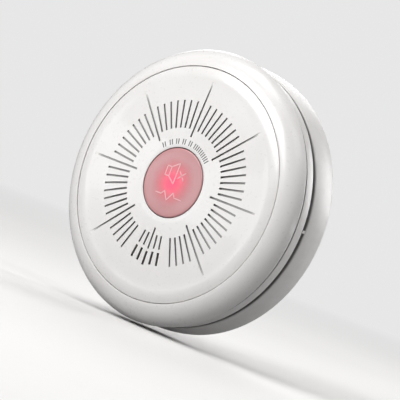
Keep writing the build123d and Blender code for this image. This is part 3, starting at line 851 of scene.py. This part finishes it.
WHITE: Colour = (0.80, 0.785, 0.775)
WHITE_SHADE: Colour = (0.775, 0.757, 0.742)
# Gaps that get painted shade, a dark colour where shade falls: behind the band, and at the joint line.
SHELL_SHADED_GAPS = ((12.3, 14.5, 57.3), (18.88, 20.0, 58.0))  # behind the band, and at the joint line
FINISHES: dict[str, Finish] = {
    # The face's grooves get painted shade.
    "white_gloss": Moulding(WHITE, WHITE_SHADE, 0.3, 0.02, 700.0, coat=0.25, edges=(50.0,), groove_painted_shade=0.75),
    # The shell's gaps get painted shade.
    "white_shell": Moulding(WHITE, WHITE_SHADE, 0.38, 0.05, 900.0, edges=(57.1, 58.1), gaps=SHELL_SHADED_GAPS),
    "white_inner": Moulding((0.70, 0.69, 0.66), (0.66, 0.64, 0.60), 0.5, 0.08),
    "red_lens": PaintedGlowLens((0.56, 0.27, 0.28), (0.53, 0.25, 0.26), 0.34, 0.03, 600.0, coat=0.2),
    "lamp": Finish((0.75, 0.08, 0.06), (0.62, 0.05, 0.04), 0.15, 0.01),
    "black_plastic": Finish((0.022, 0.022, 0.024), (0.032, 0.032, 0.034), 0.45, 0.12, 1400.0),
    "board": CircuitLaminate((0.015, 0.11, 0.04), (0.012, 0.09, 0.035), 0.35, 0.05, 500.0),
    "screw_steel": Finish((0.55, 0.55, 0.56), (0.45, 0.45, 0.46), 0.32, 0.08, 1800.0, metallic=1.0),
    "screen_steel": WovenMesh((0.50, 0.50, 0.51), (0.40, 0.40, 0.42), 0.35, 0.3, 1500.0, metallic=1.0),
    "clear_epoxy": Finish((0.30, 0.33, 0.42), (0.24, 0.27, 0.36), 0.08, 0.01, coat=0.5),
    "tinned_steel": Finish((0.62, 0.61, 0.58), (0.50, 0.49, 0.47), 0.3, 0.06, 1500.0, metallic=1.0),
    "brass": Finish((0.72, 0.50, 0.20), (0.60, 0.40, 0.15), 0.3, 0.06, 1300.0, metallic=1.0),
    "silvered_ceramic": Finish((0.72, 0.71, 0.68), (0.64, 0.63, 0.60), 0.42, 0.08, metallic=0.7),
    "cell_sleeve": Finish((0.05, 0.10, 0.30), (0.04, 0.08, 0.26), 0.28, 0.04, coat=0.3),
    "red_wire": Finish((0.50, 0.02, 0.02), (0.42, 0.015, 0.015), 0.4, 0.05),
    "black_wire": Finish((0.02, 0.02, 0.02), (0.03, 0.03, 0.03), 0.4, 0.05),
    "grey_slider": Finish((0.25, 0.25, 0.26), (0.21, 0.21, 0.22), 0.45, 0.08),
    "ferrite": Finish((0.05, 0.048, 0.047), (0.07, 0.068, 0.065), 0.6, 0.2, 1600.0),
    "chip_ceramic": Finish((0.32, 0.24, 0.17), (0.25, 0.18, 0.13), 0.5, 0.1),
    "printed_grey": Finish((0.085, 0.085, 0.088), (0.11, 0.11, 0.112), 0.5, 0.05, dusty=0.0),
    "printed_pink": Finish((0.85, 0.50, 0.52), (0.82, 0.46, 0.48), 0.4, 0.05, dusty=0.0),
}


def material_of(finish: str) -> bpy.types.Material:
    """Gives the material of a finish, and makes it the first time."""
    name = "finish_" + finish
    return bpy.data.materials.get(name) or FINISHES[finish].build(name)


def hand_over(piece: Mesh, name: str, finish: str, body: Body, stands_for: str = "") -> Mesh:
    """Names and dresses a finished piece and lets it ride on its body.

    Args:
        piece: The finished mesh.
        name: Its name.
        finish: Key of its finish.
        body: The body that it moves with.
        stands_for: CAD node that it replaces, or nothing.

    Returns:
        The piece.
    """
    piece.name = piece.data.name = name
    piece.data.materials.clear()
    piece.data.materials.append(material_of(finish))
    if stands_for:
        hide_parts(stands_for)
    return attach(piece, body.value)


def dress_nodes() -> None:
    """Gives every CAD node the finish that its material slot names."""
    for name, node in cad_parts.items():
        slot = node.data.materials[0].name
        node.data.materials[0] = material_of(slot)
        log.info("%s: %s", name, slot)


# ------------------------------------------------------------------ the face
@dataclass
class FaceDisc:
    """Domed face with its radial grooves and the sounder's through slots."""

    radius: float = field(default_factory=lambda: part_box("face_disc")[1].x / MM)
    crown: float = 31.25
    shoulder: Point = (44.0, 29.8)
    rim_depth: float = 28.85
    ledge_depth: float = 27.0
    back_depth: float = 28.2
    hole_radius: float = 14.9
    collar_radius: float = 16.4
    collar_depth: float = 25.0
    ledge_radius: float = 46.0
    groove_width: float = 0.85
    groove_floor: float = 29.7
    groove_count: int = 64
    grooves_per_long: int = 8
    long_groove: Point = (20.0, 44.4)
    short_groove: Point = (23.2, 35.1)
    outlet_angle: float = 270.0
    outlet_reach: int = 3
    outlet_width: float = 1.15
    outlet_floor: float = 26.0
    long_outlet_groove: Point = (19.8, 28.9)
    short_outlet_groove: Point = (22.5, 28.2)
    long_outlet: Point = (30.0, 35.8)
    short_outlet: Point = (29.5, 34.9)
    hook_angles: tuple[float, ...] = (22.5, 112.5, 157.5, 202.5, 247.5, 337.5)
    hook_span: float = 6.0
    hook_end: float = 24.2

    def curvature(self) -> float:
        """Radius of the sphere that the dome is part of, in millimetres."""
        rise = self.crown - self.shoulder[1]
        return (self.shoulder[0] ** 2 + rise**2) / (2 * rise)

    def depth_at(self, radius: float) -> float:
        """Depth of the dome's outer surface at a radius in millimetres."""
        sphere = self.curvature()
        return self.crown - sphere + math.sqrt(sphere**2 - radius**2)

    def shell(self) -> Mesh:
        """Turns the plain disc.

        Returns:
            The closed mesh, before anything is added or cut.
        """
        lip = 0.3
        top = (self.hole_radius + lip, self.depth_at(self.hole_radius))
        outline = [top]
        outline += arc(top, (32.0, self.depth_at(32.0)), self.shoulder, 14)
        edge = (self.radius - 0.12, self.rim_depth)
        outline += arc(self.shoulder, (47.6, self.shoulder[1] - 0.32), edge, 8)
        outline += arc(edge, (self.radius - 0.02, edge[1] - 0.12), (self.radius, edge[1] - 0.3), 2)
        outline += [
            (self.radius, self.ledge_depth),
            (self.ledge_radius, self.ledge_depth),
            (self.ledge_radius, self.back_depth),
            (self.collar_radius, self.back_depth),
            (self.collar_radius, self.collar_depth),
            (self.hole_radius, self.collar_depth),
            (self.hole_radius, top[1] - lip),
        ]
        start, bend = outline[-1], (self.hole_radius + 0.09, top[1] - 0.09)
        outline += arc(start, bend, top, 3)[:-1]
        return turned("face_shell", outline, ROUND)

    def groove_tool(self, ends: Point, width: float, angle: float, floor: float) -> Mesh:
        """Milling tool for one radial groove, with its top above the dome.

        Args:
            ends: Radii at which the groove starts and ends.
            width: Its width in millimetres.
            angle: Its direction in degrees.
            floor: Depth of its floor.

        Returns:
            The closed mesh.
        """
        (inner, outer), clear = ends, 33.0
        middle = polar((inner + outer) / 2, angle)
        return bar("groove_tool", middle, (outer - inner, width), (floor, clear), angle)

    def tools(self) -> list[Mesh]:
        """Milling tools for every groove, and for the sounder's slots between the shorter ones.

        Returns:
            One closed mesh for each groove or slot.
        """
        made = []
        step = 360 / self.groove_count
        for place in range(self.groove_count):
            turn = place * step
            steps = round(abs((turn - self.outlet_angle + 180) % 360 - 180) / step)
            if steps > self.outlet_reach:
                ends = self.short_groove if place % self.grooves_per_long else self.long_groove
            elif steps < self.outlet_reach:
                ends = self.short_outlet_groove if steps else self.long_outlet_groove
            else:
                continue
            made.append(self.groove_tool(ends, self.groove_width, turn, self.groove_floor))
        for steps in range(1 - self.outlet_reach, self.outlet_reach):
            ends = self.short_outlet if steps else self.long_outlet
            turn = self.outlet_angle + steps * step
            made.append(self.groove_tool(ends, self.outlet_width, turn, self.outlet_floor))
        return made

    def hooks(self) -> list[Mesh]:
        """Snap hooks that hold the disc on the cover's ledge.

        Returns:
            One closed mesh for each hook.
        """
        made = []
        inner, end = 43.6, self.hook_end
        for angle in self.hook_angles:
            stem = sector("hook", (inner, 44.9), (end, self.back_depth + 0.4), angle, self.hook_span)
            toe = sector("toe", (inner, 46.2), (end, end + 1.0), angle, self.hook_span)
            combine(stem, [toe], "UNION")
            made.append(stem)
        return made

    def build(self) -> Mesh:
        """Makes the finished disc and lets it ride on the head.

        Returns:
            The piece that stands for the face_disc node.
        """
        piece = self.shell()
        combine(piece, self.hooks(), "UNION")
        combine(piece, self.tools(), "DIFFERENCE")
        smooth(piece)
        return hand_over(piece, "face_disc_moulding", "white_gloss", Body.HEAD, "face_disc")


# ------------------------------------------------------------------ the cover
@dataclass
class FrontCover:
    """Bulging ring between the fine seam of the face and the joint line of the housing."""

    bulge_radius: float = field(default_factory=lambda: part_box("front_cover")[1].x / MM)
    bulge_depth: float = 22.5
    seam_radius: float = 50.15
    seam_depth: float = 29.0
    joint_radius: float = 56.85
    joint_depth: float = 19.95
    ledge: Point = (45.2, 27.0)
    ledge_thickness: float = 1.6
    wall_root: float = 51.6
    bore: float = 55.0
    boss_radius: float = 2.8
    boss_foot: float = 16.2
    pilot_radius: float = 1.25
    pilot_end: float = 24.2

    def shell(self) -> Mesh:
        """Turns the ring with its ledge.

        Returns:
            The closed mesh, before anything is added or cut.
        """
        foot, bulge = (self.joint_radius, self.joint_depth), (self.bulge_radius, self.bulge_depth)
        lip = (self.seam_radius + 0.14, self.seam_depth - 0.03)
        outline = [foot]
        outline += arc(foot, (self.bulge_radius - 0.6, self.bulge_depth - 1.3), bulge, 10)
        outline += arc(bulge, (55.75, 26.55), lip, 24)
        outline += arc(lip, (self.seam_radius + 0.03, lip[1] - 0.06), (self.seam_radius, lip[1] - 0.2), 2)
        under = self.ledge[1] - self.ledge_thickness
        outline += [
            (self.seam_radius - 0.05, self.ledge[1]),
            self.ledge,
            (self.ledge[0], under),
            (self.wall_root, under),
        ]
        outline += arc(outline[-1], (54.1, 24.0), (self.bore, 22.2), 8)
        outline += [(self.bore, self.joint_depth)]
        return turned("cover_shell", outline, ROUND)

    def build(self) -> Mesh:
        """Makes the cover with its four screw bosses and lets it ride on the head.

        Returns:
            The piece that stands for the front_cover node.
        """
        piece = self.shell()
        boss, pilot = (self.boss_foot, self.ledge[1] - 1.0), (self.boss_foot - 1.2, self.pilot_end)
        combine(piece, [peg("boss", place, self.boss_radius, boss) for place in screw_places()], "UNION")
        drills = [peg("pilot", place, self.pilot_radius, pilot) for place in screw_places()]
        combine(piece, drills, "DIFFERENCE")
        smooth(piece)
        return hand_over(piece, "front_cover_moulding", "white_gloss", Body.HEAD, "front_cover")


# ------------------------------------------------------------------ the rear housing
@dataclass
class RearHousing:
    """Back shell of the head: the narrow outer band, the drum inside the base and its fittings."""

    band_radius: float = 57.1
    band_depth: float = 14.3
    joint_depth: float = 19.9
    joint_gap: float = 0.9
    joint_line: float = 55.6
    drum_radius: float = 50.5
    drum_bore: float = 48.6
    back_depth: float = field(default_factory=lambda: -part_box("rear_housing")[1].y / MM)
    floor_depth: float = 6.2
    screw_seat: float = 8.0
    saddle_depth: float = 12.2
    board_depth: float = 17.5
    board_posts: tuple[Point, ...] = ((28.0, 22.0), (25.0, -28.0), (-22.0, -32.0))
    battery: Point = (-36.5, 15.0)
    cell: Point = (8.6, 34.5)
    saddle: Point = (19.4, 2.0)
    saddle_places: Point = (10.0, -10.0)
    seat_radius: float = 54.85
    seat_depth: float = 21.5
    wall: Point = (53.0, 16.2)
    boss_radius: float = 3.1
    post_radius: float = 2.6
    rail: Point = (39.6, 40.5)
    rail_height: float = 3.5
    rail_middle: float = -9.0
    rail_span: float = 40.0
    lug_angles: tuple[float, ...] = (30.0, 150.0, 270.0)
    lug_span: float = 14.0
    lug_reach: float = 54.2
    lug_depths: Point = (6.4, 8.7)
    twist: float = 18.0
    vent_angles: tuple[int, ...] = tuple(range(54, 127, 9))
    vent_span: float = 5.5
    vent_depths: Point = (9.6, 13.4)

    def shell(self) -> Mesh:
        """Turns the drum and band.

        Returns:
            The closed mesh, before anything is added or cut.
        """
        back = (self.band_radius - 0.5, self.band_depth)
        edge = (self.band_radius + 0.05, self.band_depth + 0.6)
        front = (self.band_radius - 0.1, self.joint_depth - self.joint_gap - 0.12)
        outline = [(0.0, self.back_depth), (self.drum_radius - 0.8, self.back_depth)]
        outline += [(self.drum_radius, self.back_depth + 0.8), (self.drum_radius, self.band_depth), back]
        outline += arc(back, (self.band_radius - 0.1, self.band_depth + 0.18), edge, 4)
        outline += [front]
        step = (self.joint_line, self.joint_depth - self.joint_gap)
        outline += arc(front, (front[0] - 0.03, front[1] + 0.07), (front[0] - 0.12, step[1]), 3)
        outline += [step, (step[0], self.joint_depth), (self.seat_radius, self.joint_depth)]
        outline += [(self.seat_radius, self.seat_depth), (self.wall[0], self.seat_depth), self.wall]
        outline += [(self.drum_bore, self.wall[1]), (self.drum_bore, self.floor_depth)]
        outline += [(0.0, self.floor_depth)]
        return turned("housing_shell", outline, ROUND)

    def fittings(self) -> list[Mesh]:
        """Screw bosses, board posts, rail, battery saddles and bayonet lugs.

        Returns:
            Closed meshes that reach a little into the shell.
        """
        root = self.floor_depth - 0.2
        made = [peg("boss", place, self.boss_radius, (root, self.wall[1] - 0.1)) for place in screw_places()]
        made += [peg("post", place, self.post_radius, (root, self.board_depth)) for place in self.board_posts]
        inner, top = self.rail[0], root + self.rail_height
        where = (self.rail_middle, self.rail_span)
        rail = sector("rail", self.rail, (root, top), *where)
        lip = sector("rail_lip", (inner, inner + 2.0), (top - 0.4, top + 0.4), *where)
        combine(rail, [lip], "UNION")
        made.append(rail)
        for z in self.saddle_places:
            made.append(bar("saddle", (self.battery[0], z), self.saddle, (root, self.saddle_depth)))
        for angle in self.lug_angles:
            radii = (self.drum_radius - 0.3, self.lug_reach)
            made.append(sector("lug", radii, self.lug_depths, angle, self.lug_span))
        return made

    def tools(self) -> list[Mesh]:
        """Everything that is drilled or milled out of the housing.

        Returns:
            One closed mesh for each hole or slot.
        """
        made = []
        for place in screw_places():
            hole = peg("hole", place, 1.6, (self.screw_seat - 1.0, 17.0))
            seat = peg("seat", place, 2.35, (self.back_depth - 1.0, self.screw_seat))
            combine(seat, [hole], "UNION")
            made.append(seat)
        made += [peg("pilot", place, 1.0, (9.5, 18.5)) for place in self.board_posts]
        made.append(sector("post_slot", (41.4, 45.6), (3.0, 7.2), -self.twist / 2, self.twist + 5.6))
        radii = (self.drum_bore - 0.8, self.drum_radius + 0.8)
        for angle in self.vent_angles:
            made.append(sector("vent", radii, self.vent_depths, angle, self.vent_span, 4))
        return made

    def cell_tool(self) -> Mesh:
        """Tool that hollows the saddles to the battery's round.

        Returns:
            The closed mesh.
        """
        deselect_everything()
        radius, length = self.cell
        centre = seen(self.battery[0], 0, self.battery[1])
        bpy.ops.mesh.primitive_cylinder_add(
            vertices=64, radius=radius * MM, depth=length * MM, location=centre
        )
        return settled("cell_tool")

    def build(self) -> Mesh:
        """Makes the housing and lets it ride on the head.

        Returns:
            The piece that stands for the rear_housing node.
        """
        piece = self.shell()
        combine(piece, self.fittings(), "UNION", flat=True)
        combine(piece, [self.cell_tool()], "DIFFERENCE", flat=True)
        combine(piece, self.tools(), "DIFFERENCE", flat=True)
        smooth(piece)
        return hand_over(piece, "rear_housing_moulding", "white_shell", Body.HEAD, "rear_housing")


# ------------------------------------------------------------------ the mounting base
@dataclass
class MountingBase:
    """Shallow dish on the wall, with screw slots, bayonet tabs and the locating rib in the gap."""

    radius: float = 58.0
    front_radius: float = 57.45
    front_depth: float = 12.55
    bore: float = 55.0
    floor: float = 2.2
    tab_angles: tuple[float, ...] = (30.0, 150.0, 270.0)
    tab_reach: float = 51.3
    tab_span: float = 16.0
    tab_depths: Point = (9.0, 10.8)
    post_place: Point = (43.5, 0.0)
    post_radius: float = 1.6
    post_end: float = 7.6
    low_rib_angles: tuple[float, ...] = (90.0, 210.0, 330.0)
    spoke_count: int = 12
    spoke: Point = (44.0, 1.6)
    pockets: tuple[Point, ...] = ((13.0, 37.0), (38.6, 52.5))
    pad: Point = (16.0, 11.0)
    slots: tuple[tuple[float, float, float], ...] = ((30, 0, 0), (-30, 0, 0), (0, 42, 90), (0, -42, 90))
    slot_length: float = 9.0
    slot_width: float = 4.4
    hoop: Point = (26.0, 27.2)
    rib_height: float = 0.9

    def shell(self) -> Mesh:
        """Turns the dish.

        Returns:
            The closed mesh, before anything is added or cut.
        """
        foot, lip = (self.radius, 0.9), (self.front_radius, self.front_depth - 0.6)
        flat = (self.front_radius - 0.65, self.front_depth)
        outline = [(0.0, 0.0), (self.radius - 0.9, 0.0)]
        outline += arc(outline[-1], (self.radius - 0.26, 0.26), foot, 4)
        outline += arc(foot, (self.radius + 0.2, 6.0), lip, 10)
        outline += arc(lip, (self.front_radius - 0.2, self.front_depth - 0.16), flat, 4)
        inner, outer = self.hoop
        crest = self.floor + self.rib_height
        outline += [(self.bore, self.front_depth), (self.bore, self.floor), (outer, self.floor)]
        outline += [(outer, crest), (inner, crest), (inner, self.floor), (0.0, self.floor)]
        return turned("base_shell", outline, ROUND)

    def slot_tool(self, x: float, z: float, turn: float, grow: float, depths: Point) -> Mesh:
        """Long round-ended milling tool for one screw slot.

        Args:
            x: Place to the right in millimetres.
            z: Place upwards in millimetres.
            turn: Angle of its length in degrees.
            grow: How much longer and wider it is than the slot.
            depths: Near and far distance from the wall.

        Returns:
            The closed mesh.
        """
        tool = peg("slot_tool", (x, z), (self.slot_width + grow) / 2, depths)
        along = Vector((math.cos(math.radians(turn)), 0.0, math.sin(math.radians(turn))))
        middle = seen(x, z, 0.0).dot(along)
        reach = along * (self.slot_length - self.slot_width) / 2 * MM
        with editing_where(tool, lambda place: place.dot(along) > middle + 0.01 * MM):
            bpy.ops.transform.translate(value=reach)
        with editing_where(tool, lambda place: place.dot(along) < middle - 0.01 * MM):
            bpy.ops.transform.translate(value=-reach)
        return tool

    def relief(self) -> Mesh:
        """Tool that leaves the rim, hub, spokes and slot pads standing on the back.

        Returns:
            The closed mesh.
        """
        span, clear = 360 / self.spoke_count, (-2.0, 2.0)
        turns = [place * span for place in range(self.spoke_count)]
        made = []
        for turn in turns:
            made += [sector("relief", radii, (-1.0, 1.0), turn, span, 10) for radii in self.pockets]
        relief = joined("relief", made)
        spokes = [turn + span / 2 for turn in turns]
        kept = [bar("rib", polar(33.0, turn), self.spoke, clear, turn) for turn in spokes]
        combine(relief, kept, "DIFFERENCE")
        kept = [bar("pad", (x, z), self.pad, clear, turn) for x, z, turn in self.slots]
        combine(relief, kept, "DIFFERENCE")
        return relief

    def fittings(self) -> list[Mesh]:
        """Bayonet tabs with their stops, the switch post, low ribs and the locating rib.

        Returns:
            Closed meshes that reach a little into the shell.
        """
        made = []
        root, radii = self.floor - 0.2, (self.tab_reach, self.bore + 0.3)
        for angle in self.tab_angles:
            tab = sector("tab", radii, self.tab_depths, angle, self.tab_span)
            end = angle - self.tab_span / 2 - 0.7
            combine(tab, [sector("stop", radii, (root, self.tab_depths[1]), end, 1.8, 3)], "UNION")
            made.append(tab)
        made.append(peg("post", self.post_place, self.post_radius, (root, self.post_end)))
        for angle in self.low_rib_angles:
            low_rib = (root, self.floor + self.rib_height)
            made.append(bar("rib", polar(31.6, angle), (9.0, 1.2), low_rib, angle))
        radii, depths = (self.bore + 0.1, 57.1), (self.front_depth - 0.3, 14.15)
        made.append(sector("locating_rib", radii, depths, 0.5, 1.3, 3))
        return made

    def build(self) -> Mesh:
        """Makes the base and lets it ride on the base body.

        Returns:
            The piece that stands for the mounting_base node.
        """
        piece = self.shell()
        combine(piece, self.fittings(), "UNION", flat=True)
        combine(piece, [self.relief()], "DIFFERENCE", flat=True)
        holes = [self.slot_tool(*place, 0.0, (-1.0, 3.5)) for place in self.slots]
        combine(piece, holes, "DIFFERENCE", flat=True)
        seats = [self.slot_tool(*place, 4.6, (self.floor - 0.6, 3.5)) for place in self.slots]
        combine(piece, seats, "DIFFERENCE", flat=True)
        smooth(piece)
        return hand_over(piece, "mounting_base_moulding", "white_shell", Body.BASE, "mounting_base")


# ------------------------------------------------------------------ the test button
@dataclass
class TestButton:
    """Round translucent lens in the middle of the face, with the pictograms on it."""

    radius: float = field(default_factory=lambda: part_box("test_button")[1].x / MM)
    face: FaceDisc = field(default_factory=FaceDisc)
    proud: float = 0.1
    skirt_end: float = 26.0
    skirt_bore: float = 13.3
    underside: float = 29.4

    def depth_at(self, radius: float) -> float:
        """Depth of the lens's outer surface at a radius in millimetres."""
        return self.face.depth_at(radius) + self.proud

    def lens(self) -> Mesh:
        """Turns the lens.

        Returns:
            The closed mesh.
        """
        rim = (self.radius - 0.5, self.depth_at(self.radius) - 0.05)
        outline = [(0.0, self.depth_at(0.0))]
        outline += arc(outline[0], (8.0, self.depth_at(8.0)), rim, 12)
        side = (self.radius, rim[1] - 0.5)
        outline += arc(rim, (self.radius - 0.14, rim[1] - 0.15), side, 4)
        outline += [(self.radius, self.skirt_end), (self.skirt_bore, self.skirt_end)]
        outline += [(self.skirt_bore, self.underside), (0.0, self.underside)]
        return turned("lens", outline, 160)

    def build(self) -> Mesh:
        """Makes the lens and lets it ride on the button.

        Returns:
            The piece that stands for the test_button node.
        """
        piece = self.lens()
        smooth(piece)
        return hand_over(piece, "test_button_lens", "red_lens", Body.BUTTON, "test_button")


# ------------------------------------------------------------------ the printed marks
@dataclass
class Markings:
    """Plain printed marks: tick pairs on the face, and two pictograms on the lens."""

    face: FaceDisc = field(default_factory=FaceDisc)
    button: TestButton = field(default_factory=TestButton)
    thickness: float = 0.05
    legend_radius: float = 17.45
    legend_height: float = 2.3
    tick_width: float = 0.42
    tick_gap: float = 1.1
    legend: tuple[tuple[float, float, int], ...] = ((-40.0, -28.5, 2), (-18.0, 4.0, 3), (14.0, 42.0, 5))
    line: float = 0.42
    speaker: tuple[Point, ...] = ((-3.0, 2.0), (-5.1, 2.0), (-5.1, 6.0), (-3.0, 6.0), (0.5, 8.5), (0.5, -0.5))
    cross: tuple[tuple[Point, Point], ...] = (((1.6, 2.1), (4.9, 5.4)), ((1.6, 5.4), (4.9, 2.1)))
    pulse: tuple[Point, ...] = (
        (-6.3, -5.8), (-3.4, -5.8), (-2.2, -4.2), (0.2, -7.6), (2.4, -4.0), (3.7, -5.8), (7.4, -5.8),
    )

    def legend_ticks(self) -> Mesh:
        """Makes pairs of upright ticks on an arc over the button.

        Returns:
            The ticks as one piece.
        """
        depth = self.face.depth_at(self.legend_radius)
        depths = (depth - 0.3, depth + self.thickness)
        size = (self.legend_height, self.tick_width)
        lean = math.degrees(self.tick_gap / 2 / self.legend_radius)
        ticks = []
        for first, last, count in self.legend:
            for place in range(count):
                clockwise = first + (last - first) * place / (count - 1)
                for angle in (UP - clockwise - lean, UP - clockwise + lean):
                    ticks.append(bar("tick", polar(self.legend_radius, angle), size, depths, angle))
        piece = joined("legend_ticks", ticks)
        return hand_over(piece, "legend_ticks", "printed_grey", Body.HEAD)

    def stroke(self, start: Point, end: Point) -> list[Mesh]:
        """Line with round ends on the lens.

        Args:
            start: One end, seen from the front, in millimetres.
            end: The other end.

        Returns:
            A bar and two pegs that run into each other.
        """
        across, up = end[0] - start[0], end[1] - start[1]
        middle = ((start[0] + end[0]) / 2, (start[1] + end[1]) / 2)
        depth = self.button.depth_at(math.hypot(*middle))
        depths = (depth - 0.25, depth + self.thickness)
        angle = math.degrees(math.atan2(up, across))
        made = [bar("stroke", middle, (math.hypot(across, up), self.line), depths, angle)]
        return made + [peg("stroke_end", centre, self.line / 2, depths, 12) for centre in (start, end)]

    def drawing(self, name: str, lines: list[tuple[Point, Point]]) -> Mesh:
        """Joins strokes into one printed mark on the lens."""
        strokes = [part for start, end in lines for part in self.stroke(start, end)]
        return hand_over(joined(name, strokes), name, "printed_pink", Body.BUTTON)

    def build(self) -> list[Mesh]:
        """Makes every printed mark.

        Returns:
            The finished pieces.
        """
        outline = list(zip(self.speaker, self.speaker[1:] + self.speaker[:1]))
        outline.append((self.speaker[0], self.speaker[3]))  # the line across the speaker's horn
        pulse = list(zip(self.pulse, self.pulse[1:]))
        return [
            self.legend_ticks(),
            self.drawing("mute_mark", outline + list(self.cross)),
            self.drawing("pulse_mark", pulse),
        ]


# ------------------------------------------------------------------ the studio
@dataclass(frozen=True)
class Softbox:
    """Rectangular soft light: its place from the alarm along the camera's axes, size and watts."""

    side: float
    up: float
    front: float
    width: float
    height: float
    power: float


@dataclass
class Studio:
    """Camera, floor, surroundings and lights."""

    aim: Vector = field(default_factory=lambda: Vector((14.6, -29.0, -2.6)) * MM)
    azimuth: float = 36.38
    roll: float = 21.33
    distance: float = 1.016
    lens: float = 225.0
    floor_gap: float = 1.5 * MM
    floor_fade: Point = (0.12, 1.6)
    backdrop: Colour = (0.80, 0.80, 0.80)
    ambience: float = 0.04
    bounce: float = 0.22
    softboxes: tuple[Softbox, ...] = (
        Softbox(-0.55, 0.75, 0.55, 0.7, 0.5, 9.8),
        Softbox(0.0, 1.1, 0.1, 0.6, 0.6, 4.6),
        Softbox(-1.1, 0.2, 0.3, 0.6, 0.6, 5.4),
        Softbox(0.6, 0.7, 0.6, 0.5, 0.5, 1.6),
        Softbox(1.0, 0.05, -0.45, 0.5, 0.5, 6.6),
        Softbox(0.9, 0.25, 0.25, 0.25, 0.45, 0.4),
        Softbox(0.75, -0.45, 0.5, 0.4, 0.4, 3.0),
        Softbox(0.3, 0.6, -1.2, 0.8, 0.8, 5.0),
    )

    def axes(self) -> tuple[Vector, Vector, Vector]:
        """Camera's right, up and backward directions.

        Returns:
            The three directions, each one unit long.
        """
        turn, roll = math.radians(self.azimuth), math.radians(self.roll)
        level = Vector((math.cos(turn), math.sin(turn), 0.0))
        back = Vector((math.sin(turn), -math.cos(turn), 0.0))
        plumb = Vector((0.0, 0.0, 1.0))
        right = level * math.cos(roll) + plumb * math.sin(roll)
        top = plumb * math.cos(roll) - level * math.sin(roll)
        return right, top, back

    def camera(self) -> None:
        """Adds the camera."""
        right, top, back = self.axes()
        data = bpy.data.cameras.new("camera")
        data.lens = self.lens
        data.clip_end = 50.0
        camera = bpy.data.objects.new("camera", data)
        bpy.context.scene.collection.objects.link(camera)
        turned_by = Matrix((right, top, back)).transposed().to_4x4()
        camera.matrix_world = Matrix.Translation(self.aim + back * self.distance) @ turned_by
        bpy.context.scene.camera = camera

    def floor(self) -> None:
        """Adds a wide pale floor just under the alarm."""
        deselect_everything()
        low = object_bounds()[0][2] - self.floor_gap
        bpy.ops.mesh.primitive_grid_add(x_subdivisions=8, y_subdivisions=8, size=40.0, location=(0, 0, low))
        floor = bpy.context.object
        floor.name = "floor"
        material = bpy.data.materials.new("pale_floor")
        material.use_nodes = True
        tree = Tree(material.node_tree)
        shader = material.node_tree.nodes["Principled BSDF"]
        place = tree.add("TexCoord").outputs["Object"]
        shades = {"Light": (0.82, 0.81, 0.80, 1.0), "Dark": (0.79, 0.78, 0.77, 1.0)}
        cloud = MOTTLE.place(tree, Place=place, Fineness=3.0, **shades)
        tree.feed(shader.inputs["Roughness"], 0.7)
        away = tree.add("VectorMath", {0: place}, operation="LENGTH").outputs["Value"]
        seen_directly = tree.add("LightPath").outputs["Is Camera Ray"]
        dim = (self.bounce, self.bounce, self.bounce, 1.0)
        tree.feed(shader.inputs["Base Color"], tree.blend(seen_directly, dim, cloud.outputs["Colour"]))
        share = tree.maths("MULTIPLY", tree.fade(away, *self.floor_fade), seen_directly)
        haze = tree.add("Emission", {"Color": (*self.backdrop, 1.0)}).outputs[0]
        mixed = tree.add("MixShader", {0: share, 1: shader.outputs[0], 2: haze}).outputs[0]
        tree.feed(material.node_tree.nodes["Material Output"].inputs["Surface"], mixed)
        floor.data.materials.append(material)
        floor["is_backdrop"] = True

    def surroundings(self) -> None:
        """Makes an even pale world."""
        world = bpy.data.worlds.new("surroundings")
        world.use_nodes = True
        tree = Tree(world.node_tree)
        seen_directly = tree.add("LightPath").outputs["Is Camera Ray"]
        background = world.node_tree.nodes["Background"]
        surrounding = (self.ambience, self.ambience, self.ambience, 1.0)
        tree.feed(background.inputs["Color"], tree.blend(seen_directly, surrounding, (*self.backdrop, 1.0)))
        bpy.context.scene.world = world
        bpy.context.scene.view_settings.view_transform = "Standard"

    def lights(self) -> None:
        """Adds the softboxes, each turned towards the alarm."""
        right, top, back = self.axes()
        for number, box in enumerate(self.softboxes):
            data = bpy.data.lights.new(f"softbox_{number}", "AREA")
            data.shape = "RECTANGLE"
            data.size, data.size_y, data.energy = box.width, box.height, box.power
            light = bpy.data.objects.new(data.name, data)
            bpy.context.scene.collection.objects.link(light)
            offset = right * box.side + top * box.up + back * box.front
            facing = offset.to_track_quat("Z", "Y").to_matrix().to_4x4()
            light.matrix_world = Matrix.Translation(self.aim + offset) @ facing

    def build(self) -> None:
        """Sets up the whole studio."""
        self.camera()
        self.floor()
        self.surroundings()
        self.lights()


def main() -> None:
    """Builds the alarm, its marks and the studio, in order."""
    logging.basicConfig(level=logging.INFO, format="%(name)s: %(message)s")
    dress_nodes()
    pieces = [part().build() for part in (MountingBase, RearHousing, FrontCover, FaceDisc, TestButton)]
    pieces += Markings().build()
    Studio().build()


if __name__ == "__main__":
    main()
